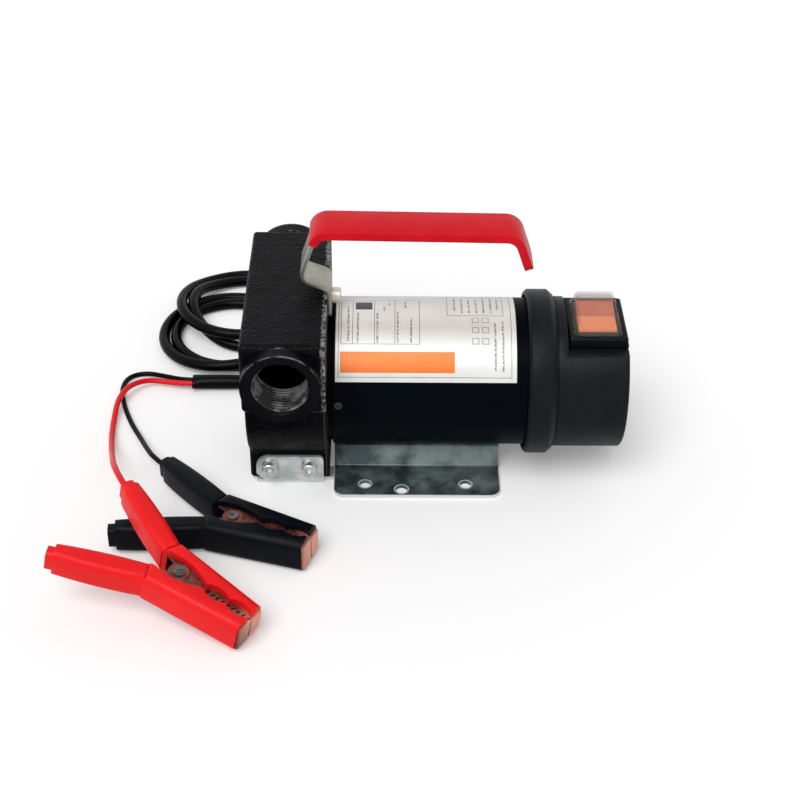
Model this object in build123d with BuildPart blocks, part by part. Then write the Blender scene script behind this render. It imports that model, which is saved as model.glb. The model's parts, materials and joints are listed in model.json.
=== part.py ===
from build123d import *
import os
from math import atan2, cos, degrees, pi, radians, sin, tan

# Fluid transfer pump: a vane pump head, the direct-current motor that drives it, a carrying handle,
# a galvanised base bracket and a supply cable with two battery clamps.
# Millimetres. X runs along the motor towards its rear cap, Y across it, Z up.
# The origin is the centre of the base bracket's four bolt holes, on the surface it stands on.

os.makedirs("parts", exist_ok=True)

# ---- Fits ----
clearance = 0.3  # between pieces that move past each other
running_fit = 0.05  # radial, shaft in bearing and pin in lug
close_fit = 0.05  # radial, between pieces fixed to each other
hole_end_gap = 0.8  # screws stop this far short of the ends of their holes
edge_break = 0.5  # chamfer on turned and sheet edges
socket_share = 0.9  # hexagon socket's radius and depth, as shares of the screw's radius
slot_width = 0.8  # of a cross recess

# ---- Motor axis and stations along it ----
axis_height = 55.0
head_rear_x = -50.6
gasket_thickness = 0.3
plate_thickness = 1.5
bell_gap = 2.3  # dark groove between motor plate and can
can_length = 119.4
cap_length = 54.7
cap_overlap = 12.3  # of the cap's collar over the can

# ---- Pump head ----
head_length = 43.0
block_width = 120.0
block_height = 43.0
block_rise = 13.0  # of the block's bottom above the motor axis
block_corner_radius = 3.5
boss_length = 7.6
boss_inset = 0.3
chamber_radius = 46.4
chamber_fillet = 6.0
foot_width = 63.6
foot_fillet = 4.0
foot_edge_radius = 1.6
casting_edge_radius = 2.2
parting_ridge_width = 0.8
parting_ridge_height = 0.35
port_minor_radius = 15.15
port_thread_depth = 24.0
port_inner_radius = 13.6
port_depth = 45.0
port_chamfer = 1.4
cover_radius = 42.0
cover_thickness = 3.2
cover_gasket_thickness = 0.3
cavity_radius = 27.0
cavity_depth = 24.0
cavity_offset = 3.0
passage_radius = 5.5
passage_y = 27.5
passage_x = -75.0
passage_floor = 50.0
bypass_seat_radius = 5.0
seal_radius = 11.0
seal_length = 7.0
seal_shell = 3.0

# ---- Pump internals ----
vane_count = 5
vane_thickness = 3.0
vane_height = 10.0
poppet_radius = 7.0
poppet_thickness = 2.5
poppet_stem_radius = 2.4
poppet_stem_length = 17.0
bypass_spring_radius = 4.4
bypass_wire = 1.0
bypass_spring_turns = 4
retainer_thickness = 4.0
retainer_rim = 2.6
retainer_hub_radius = 5.0
retainer_spoke = 3.2
retainer_distance = 14.0  # from the seat to the retainer's near face

# ---- Motor ----
can_radius = 41.5
can_wall = 1.8
spigot_fit = 0.1
front_bell_thickness = 9.8
bell_recess_inner = 17.0
bell_recess_outer = 34.0
bell_recess_depth = 5.0
front_bearing_radius = 13.0
front_bearing_width = 8.0
shaft_radius = 5.0
shaft_tail_radius = 4.0
rear_bearing_radius = 11.0
rear_bearing_width = 7.0
race_share = 0.25  # of a bearing's section taken by each race
rear_bell_thickness = 8.9
core_radius = 32.5
core_length = 54.0
core_slot_count = 12
core_slot_width = 5.0
core_slot_depth = 11.0
magnet_gap = 1.0
magnet_length = 60.0
magnet_arc_angle = 120.0
magnet_angles = (90.0, 270.0)
commutator_radius = 12.0
commutator_length = 14.0
commutator_gap = 1.0
commutator_setback = 4.0  # from the rear bell
bar_gap = 0.6
bar_gap_depth = 1.2
slot_liner = 1.0
winding_inner_radius = 13.0
winding_outer_radius = 29.5
winding_overhang = 11.0
tie_bolt_radius = 2.0
tie_bolt_head = 2.7
tie_bolt_circle = 36.5
tie_bolt_angle = -20.0
can_screw_radius = 2.2
can_screw_setback = 3.6  # from the can's front edge
can_screw_angle = 6.8
brush_width = 6.0
brush_height = 8.0
brush_length = 13.0
leaf_thickness = 0.45
holder_wall = 1.2
holder_length = 16.0
holder_gap = 1.5
brush_gap = 0.2

# ---- Data label ----
label_thickness = 0.15
label_length = 98.4
label_setback = 2.0
label_start_angle = 42.0
label_end_angle = 154.0

# ---- Rear cap and switch ----
collar_radius = 46.4
collar_mouth_radius = 43.4
collar_mouth_depth = 8.0
collar_chamfer = 1.5
collar_length = 12.4
collar_taper_step = 1.4  # of the taper's end above the barrel
collar_taper_length = 3.0
cap_groove_width = 1.0
cap_groove_depth = 0.8
barrel_radius = 42.4
cap_wall = 2.8
cap_edge_radius = 1.8
flat_height = 30.1  # of the flat above the motor axis
flat_start = 21.3  # from the cap's mouth
pillar_radius = 4.6
pillar_gap = 2.5  # between the rear bell and the pillars
pillar_circle = 33.0
pillar_angles = (30.0, 150.0, 270.0)
cap_screw_radius = 2.0
cap_screw_head_radius = 3.6
cap_screw_head_height = 2.2
gland_x = 96.0
gland_angle = -30.0  # from +Y, below the motor axis
gland_flange_radius = 8.0
gland_flange_thickness = 2.6
gland_root_radius = 6.2
gland_tip_radius = 4.7
gland_length = 22.0
gland_rib_pitch = 5.5
gland_rib_groove = 1.8
spot_face_depth = 1.1

switch_offset = 0.35  # of the switch's middle from the flat's
bezel_length = 32.3
bezel_width = 42.0
bezel_height = 5.9
bezel_flange = 1.4
bezel_lip = 1.2
bezel_corner = 1.2
bezel_chamfer = 0.8
rocker_length = 21.0
rocker_end_radius = 13.9
rocker_hinge_drop = 3.0  # hinge below the bezel's top
rocker_valley = 4.0  # valley above the hinge
rocker_belly = 4.0
rocker_vee = 6.0
rocker_tilt = 6.0
rocker_axle_radius = 1.5
switch_wall = 1.4
switch_body_depth = 22.0
rocker_pocket_depth = 10.0
boot_length = 24.9
boot_width = 36.0
boot_top_length = 21.5
boot_top_width = 30.0
boot_height = 8.0
boot_wall = 1.0
boot_lip = 0.8
boot_corner_radius = 2.5

# ---- Handle ----
strap_width = 22.0
strap_thickness = 2.0
strap_corner = 3.0
strap_gap_above_can = 0.6
strap_step_rise = 3.6  # of the step above the block's top
strap_leg_place = (-63.8, 9.6)  # x and height above the block's top, as are the next three
handle_top_front_place = (-54.2, 38.0)
handle_top_rear_place = (52.6, 36.7)
handle_tip_place = (59.3, 17.4)
step_bend = 5.0
leg_bend = 6.0
handle_bend = 8.5
grip_width = 24.4
grip_thickness = 4.6
grip_start = 0.78  # share of the front leg left bare
grip_end_cover = 1.8
grip_corner = 6.0
handle_screw_drop = 5.9  # below the block's top
handle_screw_radius = 2.5
handle_screw_head = 4.3
handle_screw_length = 16.0

# ---- Base bracket ----
sheet = 2.0
bracket_start_x = -46.2
bracket_length = 94.3
bracket_width = 94.0
seat_half_width = 13.6
web_foot_y = 20.1
bracket_bend = 2.6
bracket_corner = 6.0
hole_spacing_x = 57.0
hole_spacing_y = 74.5
hole_radius = 3.25
spare_hole_x = -7.8
spare_hole_y = 41.8
spare_hole_radius = 3.5
ear_start_x = -90.0
ear_length = 38.0
ear_height = 18.5
ear_cut = 6.5
ear_corner = 7.0
ear_rear_corner = 3.0
ear_fold = 1.6
neck_edge_y = 31.0
strip_inner_y = 21.4
ear_screw_inset = (7.7, 30.0)  # from the ear's free end
ear_screw_z = 12.3
ear_screw_radius = 2.5
ear_screw_head = 4.4
ear_screw_head_height = 4.4
ear_screw_grip = 12.0
washer_thickness = 1.4
washer_radius = 4.8

# ---- Supply cable ----
cable_radius = 3.5
sleeve_radius = 4.6
sleeve_ends = (-135.6, -100.0)
sleeve_y = 57.5
sleeve_cable_grip = 15.0
sleeve_wire_grip = 3.0
wire_spread = 1.9  # of each wire from the middle of the sleeve
red_wire_radius = 1.7
black_wire_radius = 1.5
coil_lower_centre = (-116.6, 112.0)
coil_upper_centre = (-107.6, 140.0)
coil_outer_radius = 46.0
coil_inner_radius = 33.0
coil_height = 17.5

# Routes are centreline points, chosen by hand. The cable leaves the gland, lies along the back of
# the motor and goes into the coil, and its tail comes out of the coil into the sleeve.
supply_route = [
    (96.0, 57.1, 22.05),
    (96.0, 77.8, 10.2),
    (84.2, 98.2, 3.9),
    (63.8, 110.0, 3.5),
    (36.0, 108.0, 3.5),
    (6.0, 105.0, 3.5),
    (-25.0, 108.0, 5.0),
    (-52.0, 105.0, 11.4),
    (-73.0, 92.0, 11.4),
    (-88.0, 79.0, 10.5),
]
tail_route = [
    (-66.5, 126.0, 3.5),
    (-64.3, 105.0, 3.5),
    (-64.0, 84.0, 3.5),
    (-73.6, 67.1, 3.9),
    (-90.4, 57.5, 4.6),
    (-115.0, 57.5, 4.6),
]
red_route = [
    (-132.6, 55.6, 4.6),
    (-141.5, 55.6, 4.6),
    (-152.5, 59.0, 3.4),
    (-164.0, 59.0, 4.8),
    (-173.5, 50.5, 6.6),
    (-178.3, 37.5, 6.2),
    (-179.0, 21.0, 2.8),
    (-177.8, 3.0, 3.0),
    (-174.0, -18.0, 9.5),
    (-169.5, -39.0, 20.0),
    (-165.5, -57.0, 31.5),
    (-159.9, -73.0, 36.1),
    (-153.1, -83.7, 33.3),
]
black_route = [
    (-132.6, 59.4, 4.6),
    (-141.5, 59.4, 4.6),
    (-153.0, 66.0, 2.4),
    (-166.0, 71.0, 1.5),
    (-176.5, 66.5, 1.5),
    (-179.0, 53.5, 1.5),
    (-175.5, 38.0, 1.5),
    (-169.0, 20.0, 1.5),
    (-160.0, 1.0, 3.5),
    (-153.5, -15.5, 8.0),
    (-148.2, -25.2, 10.0),
    (-139.4, -34.7, 10.0),
]

# ---- Battery clamps: pivot at the origin, +X towards the tips ----
jaw_reach = 46.0
handle_tail = (-55.0, 30.0)
handle_root = (-13.0, 10.5)
jaw_root_y = 13.5
jaw_tip_y = 9.0
jaw_meeting_y = 0.5
jaw_sheet = 1.2
jaw_gap = 0.2  # between the lugs of the two jaws
jaw_root_drop = 4.0
strip_width = 7.5
strip_reach = (-0.05, 0.84)  # ends of the sheet strip, as shares of the handle's length
sleeve_start = 0.03  # share of the handle where the sleeve meets the shroud
fixed_jaw_half_height = 6.2
lug_radius = 5.5
clamp_rivet_radius = 2.0
rivet_head_radius = 3.3
rivet_head_height = 0.9
tooth_count = 9
tooth_pitch = 3.2
tooth_depth = 1.5
shroud_half_height = 10.0
sleeve_half_height = 8.7
cover_wall = 1.6
grip_half_width = 5.8
spring_wire = 1.6
spring_coil_radius = 4.0
spring_turns = 3
spring_lap = 0.94  # pitch of the close turns, in wire thicknesses
leg_share = 0.3  # of the handle's length that a spring leg reaches
leg_offset = 1.0
nub_length = 4.0
nub_size = (8.0, 13.0)
nub_corner = 3.2
wire_grip = 3.0
grip_bow = 0.45
grip_rounding = 4.0
shroud_rounding = 5.0
shroud_setback = 1.6
scallop_depth = 2.4
scallop_pitch = 14.0
red_clamp_place = (-84.7, -161.7, -31.7, 13.4)  # tip X and Y, yaw, pitch
black_clamp_place = (-56.3, -101.1, -22.0, 0.0)

# ---- Stations that follow from the dimensions above ----
block_bottom = axis_height + block_rise
block_top = block_bottom + block_height
head_front_x = head_rear_x - head_length
port_x = head_rear_x - head_length / 2
port_z = block_bottom + block_height / 2
boss_end_y = block_width / 2 + boss_length
foot_bottom = sheet
cover_recess_depth = cover_thickness + cover_gasket_thickness
cavity_start_x = head_front_x + cover_recess_depth
cavity_end_x = cavity_start_x + cavity_depth
cavity_z = axis_height - cavity_offset
rotor_radius = cavity_radius - cavity_offset - clearance
plate_front_x = head_rear_x + gasket_thickness
plate_rear_x = plate_front_x + plate_thickness
can_start_x = plate_rear_x + bell_gap
can_end_x = can_start_x + can_length
can_inner_radius = can_radius - can_wall
cap_start_x = can_end_x - cap_overlap
cap_end_x = cap_start_x + cap_length
flat_z = axis_height + flat_height
flat_start_x = cap_start_x + flat_start
switch_x = (flat_start_x + cap_end_x) / 2 + switch_offset
barrel_start_x = cap_start_x + collar_length + collar_taper_length + cap_groove_width
bell_inner_x = plate_rear_x + front_bell_thickness
rear_bell_x = can_end_x - rear_bell_thickness
port_floor_y = boss_end_y - port_depth
handle_screw_z = block_top - handle_screw_drop


def disc_x(x, radius, length, mode=Mode.ADD, y=0.0, z=axis_height):
    """Round bar along X from x, about the motor axis unless y and z say otherwise."""
    with BuildSketch(Plane.YZ.offset(x)) as disc:
        with Locations((y, z)):
            Circle(radius)
    extrude(disc.sketch, amount=length, mode=mode)


def turned_profile(*points):
    """Solid of revolution about the motor axis from (x, radius) points in the XZ plane."""
    with BuildSketch(Plane.XZ) as profile:
        with BuildLine():
            Polyline(*[(x, axis_height + radius) for x, radius in points], close=True)
        make_face()
    revolve(profile.sketch, axis=Axis((0, 0, axis_height), (1, 0, 0)))


def on_circle(radius, angle):
    """Y and Z of a point at an angle from +Y on a circle about the motor axis."""
    return radius * cos(radians(angle)), axis_height + radius * sin(radians(angle))


def save(piece, name):
    piece.part.label = name
    export_step(piece.part, f"parts/{name}.step")


# ---- Pump head casting ----

def head_outline():
    """Outline of the head across the motor axis: port block, round chamber and foot."""
    with Locations((0, axis_height)):
        Circle(chamber_radius)
    with Locations((0, block_bottom + block_height / 2)):
        Rectangle(block_width, block_height)
    with Locations((0, (foot_bottom + axis_height) / 2)):
        Rectangle(foot_width, axis_height - foot_bottom)


def round_outline(sketch):
    """Casting radii of the head outline: block corners, the two hollows and the foot."""
    corners = sketch.vertices().filter_by(lambda v: abs(v.X) > block_width / 2 - 1)
    fillet(corners, radius=block_corner_radius)
    hollows = sketch.vertices().filter_by(
        lambda v: abs(v.Y - block_bottom) < 0.01 and abs(v.X) < chamber_radius
    )
    fillet(hollows, radius=chamber_fillet)
    ankles = sketch.vertices().filter_by(
        lambda v: abs(abs(v.X) - foot_width / 2) < 0.01 and v.Y > foot_bottom + 1
    )
    fillet(ankles, radius=foot_fillet)
    toes = sketch.vertices().filter_by(lambda v: abs(v.Y - foot_bottom) < 0.01)
    fillet(toes, radius=foot_edge_radius)


with BuildPart() as pump_head:
    with BuildSketch(Plane.YZ.offset(head_front_x)) as head_sketch:
        head_outline()
        round_outline(head_sketch)
    extrude(amount=head_length)
    front_rim = pump_head.faces().sort_by(Axis.X)[0].outer_wire().edges()
    fillet(front_rim, radius=casting_edge_radius)
    disc_x(port_x - parting_ridge_width / 2, chamber_radius + parting_ridge_height, parting_ridge_width)
    with BuildSketch(Plane.XZ):
        with Locations((port_x, port_z)):
            Circle(block_height / 2 - boss_inset)
    extrude(amount=boss_end_y, both=True)
    for side in (-1, 1):
        mouth = Plane((port_x, side * boss_end_y, port_z), x_dir=(1, 0, 0), z_dir=(0, side, 0))
        for radius, depth in ((port_minor_radius, port_thread_depth), (port_inner_radius, port_depth)):
            with BuildSketch(mouth):
                Circle(radius)
            extrude(amount=-depth, mode=Mode.SUBTRACT)
        with BuildSketch(mouth):
            Circle(port_minor_radius + port_chamfer)
        extrude(amount=-port_chamfer, taper=45, mode=Mode.SUBTRACT)
        with BuildSketch(Plane.XY.offset(passage_floor)):
            with Locations((passage_x, side * passage_y)):
                Circle(passage_radius)
        extrude(amount=port_z - passage_floor, mode=Mode.SUBTRACT)
    with BuildSketch(Plane.XZ):
        with Locations((port_x, port_z)):
            Circle(bypass_seat_radius)
    extrude(amount=port_floor_y, both=True, mode=Mode.SUBTRACT)
    disc_x(head_front_x, cover_radius + close_fit, cover_recess_depth, Mode.SUBTRACT)
    disc_x(cavity_start_x, cavity_radius, cavity_depth, Mode.SUBTRACT, z=cavity_z)
    disc_x(cavity_end_x, shaft_radius + clearance, head_rear_x - cavity_end_x, Mode.SUBTRACT)
    disc_x(head_rear_x - seal_length, seal_radius + close_fit, seal_length, Mode.SUBTRACT)

# Tapped holes in the casting: cover, bell, handle and foot.
cover_screw_radius = 2.0
cover_screw_circle = 36.5
cover_screw_depth = 8.0
cover_screw_angles = [90 + 72 * k for k in range(5)]
bell_screw_radius = 2.5
bell_screw_circle = 28.0
bell_screw_head_radius = 4.25
bell_screw_depth = 10.0
bell_screw_head_height = 4.5
bell_screw_angles = [90 + 120 * k for k in range(3)]
ear_screw_xs = [ear_start_x + inset for inset in ear_screw_inset]

with BuildPart(mode=Mode.PRIVATE) as tapped_holes:
    for angle in cover_screw_angles:
        y, z = on_circle(cover_screw_circle, angle)
        disc_x(cavity_start_x, cover_screw_radius + close_fit, cover_screw_depth, y=y, z=z)
    for angle in bell_screw_angles:
        y, z = on_circle(bell_screw_circle, angle)
        disc_x(head_rear_x, bell_screw_radius + close_fit, -bell_screw_depth, y=y, z=z)
    disc_x(head_rear_x, handle_screw_radius + close_fit, -handle_screw_length, z=handle_screw_z)
    for side in (-1, 1):
        cheek = Plane((0, side * foot_width / 2, 0), x_dir=(1, 0, 0), z_dir=(0, side, 0))
        with BuildSketch(cheek):
            with Locations(*[(x, -side * ear_screw_z) for x in ear_screw_xs]):
                Circle(ear_screw_radius + close_fit)
        extrude(amount=-ear_screw_grip)

with BuildPart() as drilled_head:
    add(pump_head.part)
    add(tapped_holes.part, mode=Mode.SUBTRACT)
save(drilled_head, "pump_head")

# ---- Cover, its gasket and countersunk screws ----
screw_flare = cover_screw_radius * 2

with BuildPart() as cover_gasket:
    gasket_x = head_front_x + cover_thickness
    disc_x(gasket_x, cover_radius, cover_gasket_thickness)
    disc_x(gasket_x, cavity_radius, cover_gasket_thickness, Mode.SUBTRACT, z=cavity_z)
    for angle in cover_screw_angles:
        y, z = on_circle(cover_screw_circle, angle)
        disc_x(gasket_x, cover_screw_radius + close_fit, cover_gasket_thickness, Mode.SUBTRACT, y=y, z=z)
save(cover_gasket, "cover_gasket")

with BuildPart() as cover_screws:
    for angle in cover_screw_angles:
        y, z = on_circle(cover_screw_circle, angle)
        reach = cover_recess_depth + cover_screw_depth - hole_end_gap
        disc_x(head_front_x, cover_screw_radius, reach, y=y, z=z)
        with BuildSketch(Plane.YZ.offset(head_front_x)):
            with Locations((y, z)):
                Circle(screw_flare)
        extrude(amount=cover_screw_radius, taper=45)
        with BuildSketch(Plane.YZ.offset(head_front_x)):
            with Locations((y, z)):
                RegularPolygon(cover_screw_radius * socket_share, 6)
        extrude(amount=cover_screw_radius * socket_share, mode=Mode.SUBTRACT)
save(cover_screws, "cover_screws")

with BuildPart() as head_cover:
    disc_x(head_front_x, cover_radius, cover_thickness)
    for angle in cover_screw_angles:
        y, z = on_circle(cover_screw_circle, angle)
        disc_x(head_front_x, cover_screw_radius + close_fit, cover_thickness, Mode.SUBTRACT, y=y, z=z)
        with BuildSketch(Plane.YZ.offset(head_front_x)):
            with Locations((y, z)):
                Circle(screw_flare + close_fit)
        extrude(amount=cover_screw_radius, taper=45, mode=Mode.SUBTRACT)
save(head_cover, "head_cover")

# ---- Rotor and vanes, which turn with the motor shaft ----
rotor_start_x = cavity_start_x + clearance / 2
rotor_length = cavity_depth - clearance
vane_depth = vane_height + clearance


def vane_slots(thickness, height):
    """Radial blades flush with the rotor's rim, one for each vane."""
    for k in range(vane_count):
        angle = 90 + 360 / vane_count * k
        y, z = on_circle(rotor_radius - height / 2, angle)
        with Locations(Location((y, z), angle)):
            Rectangle(height, thickness)


with BuildPart() as rotor_vanes:
    with BuildSketch(Plane.YZ.offset(rotor_start_x)):
        vane_slots(vane_thickness, vane_height)
    extrude(amount=rotor_length)
    disc_x(rotor_start_x, rotor_radius, rotor_length, Mode.INTERSECT)
save(rotor_vanes, "rotor_vanes")

with BuildPart() as pump_rotor:
    disc_x(rotor_start_x, rotor_radius, rotor_length)
    disc_x(rotor_start_x, shaft_radius + close_fit, rotor_length, Mode.SUBTRACT)
    with BuildSketch(Plane.YZ.offset(rotor_start_x)):
        for k in range(vane_count):
            angle = 90 + 360 / vane_count * k
            y, z = on_circle(rotor_radius - vane_depth / 2 + clearance, angle)
            with Locations(Location((y, z), angle)):
                Rectangle(vane_depth + 2 * clearance, vane_thickness + 2 * close_fit)
    extrude(amount=rotor_length, mode=Mode.SUBTRACT)
save(pump_rotor, "pump_rotor")

with BuildPart() as shaft_seal:
    disc_x(head_rear_x - seal_length, seal_radius, seal_length)
    disc_x(head_rear_x - seal_length, shaft_radius + running_fit, seal_length, Mode.SUBTRACT)
    lip_depth = seal_length - seal_shell
    disc_x(head_rear_x - seal_length, seal_radius - seal_shell, lip_depth, Mode.SUBTRACT)
save(shaft_seal, "shaft_seal")

# ---- Bypass valve in the inlet port: poppet, spring and the retainer that guides its stem ----
bypass_plane = Plane((port_x, port_floor_y, port_z), x_dir=(1, 0, 0), z_dir=(0, 1, 0))
retainer_plane = bypass_plane.offset(retainer_distance)

with BuildPart() as bypass_poppet:
    with BuildSketch(bypass_plane.offset(clearance / 3)):
        Circle(poppet_radius)
    extrude(amount=poppet_thickness)
    with BuildSketch(bypass_plane):
        Circle(poppet_stem_radius)
    extrude(amount=poppet_stem_length)
    crown = bypass_poppet.edges().filter_by(GeomType.CIRCLE).sort_by(Axis.Y)[-1]
    chamfer(crown, length=edge_break)
save(bypass_poppet, "bypass_poppet")

with BuildPart() as bypass_retainer:
    with BuildSketch(retainer_plane):
        Circle(port_inner_radius - close_fit)
        Circle(port_inner_radius - retainer_rim, mode=Mode.SUBTRACT)
        with PolarLocations((port_inner_radius - retainer_rim + retainer_hub_radius) / 2, 3):
            Rectangle(port_inner_radius - retainer_hub_radius - retainer_rim / 2, retainer_spoke)
        Circle(retainer_hub_radius)
        Circle(poppet_stem_radius + running_fit, mode=Mode.SUBTRACT)
    extrude(amount=retainer_thickness)
save(bypass_retainer, "bypass_retainer")

spring_start = poppet_thickness + clearance / 3
spring_span = retainer_distance - spring_start
spring_pitch = (spring_span - bypass_wire) / bypass_spring_turns

with BuildPart() as bypass_spring:
    spring_base = bypass_plane.offset(spring_start + bypass_wire / 2)
    with BuildLine(spring_base) as spring_line:
        Helix(spring_pitch, spring_pitch * bypass_spring_turns, bypass_spring_radius, direction=(0, 1, 0))
    with BuildSketch(Plane(spring_line.line @ 0, z_dir=spring_line.line % 0)):
        RegularPolygon(bypass_wire / 2, 6)
    sweep(is_frenet=True)
save(bypass_spring, "bypass_spring")

# ---- Motor plate behind the head, with its gasket ----
plate_holes = [(0, handle_screw_z)] + [on_circle(bell_screw_circle, a) for a in bell_screw_angles]

with BuildPart() as plate_gasket:
    with BuildSketch(Plane.YZ.offset(head_rear_x)) as gasket_sketch:
        head_outline()
        round_outline(gasket_sketch)
        with Locations((0, axis_height)):
            Circle(seal_radius, mode=Mode.SUBTRACT)
        with Locations(*plate_holes):
            Circle(bell_screw_radius + close_fit, mode=Mode.SUBTRACT)
    extrude(amount=gasket_thickness)
save(plate_gasket, "plate_gasket")

with BuildPart() as motor_plate:
    with BuildSketch(Plane.YZ.offset(plate_front_x)) as plate_sketch:
        head_outline()
        round_outline(plate_sketch)
        with Locations((0, axis_height)):
            Circle(seal_radius, mode=Mode.SUBTRACT)
        with Locations(*plate_holes):
            Circle(bell_screw_radius + close_fit, mode=Mode.SUBTRACT)
    extrude(amount=plate_thickness)
save(motor_plate, "motor_plate")

# ---- Front bell, with the bearing pocket open to the motor ----
bell_radius = can_inner_radius - spigot_fit
front_bearing_x = bell_inner_x - front_bearing_width
can_screw_x = can_start_x + can_screw_setback
can_screw_depth = 4.0
can_screw_shank = can_screw_radius * 0.73
tie_bolt_depth = 7.5
tie_bolt_angles = (tie_bolt_angle, tie_bolt_angle + 180)
can_screw_angles = (-can_screw_angle, 180 - can_screw_angle)


def screw_planes(x, radius):
    """Planes that look outwards at each can screw."""
    for angle in can_screw_angles:
        y, z = on_circle(radius, angle)
        yield Plane((x, y, z), x_dir=(1, 0, 0), z_dir=(0, cos(radians(angle)), sin(radians(angle))))


with BuildPart() as front_bell:
    disc_x(plate_rear_x, bell_radius, front_bell_thickness)
    disc_x(bell_inner_x - bell_recess_depth, bell_recess_outer, bell_recess_depth, Mode.SUBTRACT)
    disc_x(bell_inner_x - bell_recess_depth, bell_recess_inner, bell_recess_depth)
    disc_x(front_bearing_x, front_bearing_radius + close_fit, front_bearing_width, Mode.SUBTRACT)
    disc_x(plate_rear_x, shaft_radius + 2, front_bell_thickness, Mode.SUBTRACT)
    for angle in bell_screw_angles:
        y, z = on_circle(bell_screw_circle, angle)
        disc_x(plate_rear_x, bell_screw_radius + close_fit, front_bell_thickness, Mode.SUBTRACT, y=y, z=z)
    for angle in tie_bolt_angles:
        y, z = on_circle(tie_bolt_circle, angle)
        disc_x(bell_inner_x, tie_bolt_radius + close_fit, -tie_bolt_depth, Mode.SUBTRACT, y=y, z=z)
    for plane in screw_planes(can_screw_x, bell_radius):
        with BuildSketch(plane):
            Circle(can_screw_shank + close_fit)
        extrude(amount=-can_screw_depth, mode=Mode.SUBTRACT)
save(front_bell, "front_bell")

with BuildPart() as bell_screws:
    bell_floor_x = bell_inner_x - bell_recess_depth
    for angle in bell_screw_angles:
        y, z = on_circle(bell_screw_circle, angle)
        reach = bell_floor_x - head_rear_x + bell_screw_depth - hole_end_gap
        disc_x(bell_floor_x, bell_screw_radius, -reach, y=y, z=z)
        disc_x(bell_floor_x, bell_screw_head_radius, bell_screw_head_height, y=y, z=z)
        with BuildSketch(Plane.YZ.offset(bell_floor_x + bell_screw_head_height)):
            with Locations((y, z)):
                RegularPolygon(bell_screw_radius * socket_share, 6)
        extrude(amount=-bell_screw_radius * socket_share, mode=Mode.SUBTRACT)
save(bell_screws, "bell_screws")


def bearing(start_x, bore, outer, width):
    """Shielded ball bearing as one ring, its shields set back between the two races."""
    race = (outer - bore) * race_share
    disc_x(start_x, outer, width)
    disc_x(start_x, bore + running_fit, width, Mode.SUBTRACT)
    for face_x, way in ((start_x, 1), (start_x + width, -1)):
        with BuildSketch(Plane.YZ.offset(face_x)) as shield:
            with Locations((0, axis_height)):
                Circle(outer - race)
                Circle(bore + race, mode=Mode.SUBTRACT)
        extrude(shield.sketch, amount=way * edge_break, mode=Mode.SUBTRACT)


with BuildPart() as front_bearing:
    bearing(front_bearing_x, shaft_radius, front_bearing_radius, front_bearing_width)
save(front_bearing, "front_bearing")

# ---- Motor can and the two screws that hold it to the bell ----
with BuildPart() as motor_can:
    disc_x(can_start_x, can_radius, can_length)
    disc_x(can_start_x, can_inner_radius, can_length, Mode.SUBTRACT)
    for plane in screw_planes(can_screw_x, can_radius + 1):
        with BuildSketch(plane):
            Circle(can_screw_radius + close_fit)
        extrude(amount=-2 * can_wall, mode=Mode.SUBTRACT)
    mouth_edges = motor_can.edges().filter_by(GeomType.CIRCLE).filter_by(
        lambda e: abs(e.radius - can_radius) < 0.01 and abs(e.center().X - can_start_x) < 0.01
    )
    chamfer(mouth_edges, length=edge_break)
save(motor_can, "motor_can")

with BuildPart() as can_screws:
    for plane in screw_planes(can_screw_x, can_radius):
        with BuildSketch(plane):
            Circle(can_screw_radius)
        extrude(amount=-can_wall)
        with BuildSketch(plane):
            Circle(can_screw_shank)
        extrude(amount=-(can_wall + spigot_fit + can_screw_depth - hole_end_gap))
        with BuildSketch(plane):
            Rectangle(can_screw_radius * 1.3, slot_width)
            Rectangle(slot_width, can_screw_radius * 1.3)
        extrude(amount=-slot_width, mode=Mode.SUBTRACT)
save(can_screws, "can_screws")

# ---- Field magnets bonded to the can, above and below the armature ----
magnet_inner_radius = core_radius + magnet_gap
commutator_x = rear_bell_x - commutator_setback - commutator_length
core_start_x = commutator_x - commutator_gap - winding_overhang - core_length
magnet_start_x = core_start_x + (core_length - magnet_length) / 2


def ring_sector(inner, outer, start_angle, end_angle):
    """Face between two radii and two angles about the motor axis, in a YZ sketch."""
    with BuildLine() as sector:
        inside = CenterArc((0, axis_height), inner, start_angle, end_angle - start_angle)
        outside = CenterArc((0, axis_height), outer, start_angle, end_angle - start_angle)
        Line(inside @ 0, outside @ 0)
        Line(inside @ 1, outside @ 1)
    make_face(sector.edges())


with BuildPart() as field_magnets:
    for middle in magnet_angles:
        sector_start, sector_end = middle - magnet_arc_angle / 2, middle + magnet_arc_angle / 2
        with BuildSketch(Plane.YZ.offset(magnet_start_x)):
            ring_sector(magnet_inner_radius, can_inner_radius - close_fit, sector_start, sector_end)
        extrude(amount=magnet_length)
save(field_magnets, "field_magnets")

# ---- Armature: shaft, slotted core, windings and commutator ----
rear_bearing_x = rear_bell_x + clearance

with BuildPart() as armature_shaft:
    shaft_start_x = rotor_start_x + edge_break
    disc_x(shaft_start_x, shaft_radius, rear_bearing_x - shaft_start_x)
    disc_x(rear_bearing_x, shaft_tail_radius, rear_bearing_width + edge_break)
    chamfer(armature_shaft.faces().sort_by(Axis.X)[0].edges(), length=edge_break)
save(armature_shaft, "armature_shaft")

slot_middle = core_radius - core_slot_depth / 2

with BuildPart() as armature_core:
    with BuildSketch(Plane.YZ.offset(core_start_x)):
        with Locations((0, axis_height)):
            Circle(core_radius)
            Circle(shaft_radius + close_fit, mode=Mode.SUBTRACT)
            with PolarLocations(slot_middle - slot_liner, core_slot_count):
                Rectangle(core_slot_depth - 2 * slot_liner, core_slot_width, mode=Mode.SUBTRACT)
            with PolarLocations(core_radius, core_slot_count):
                Rectangle(core_slot_width, core_slot_width / 2, mode=Mode.SUBTRACT)
    extrude(amount=core_length)
save(armature_core, "armature_core")

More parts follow.
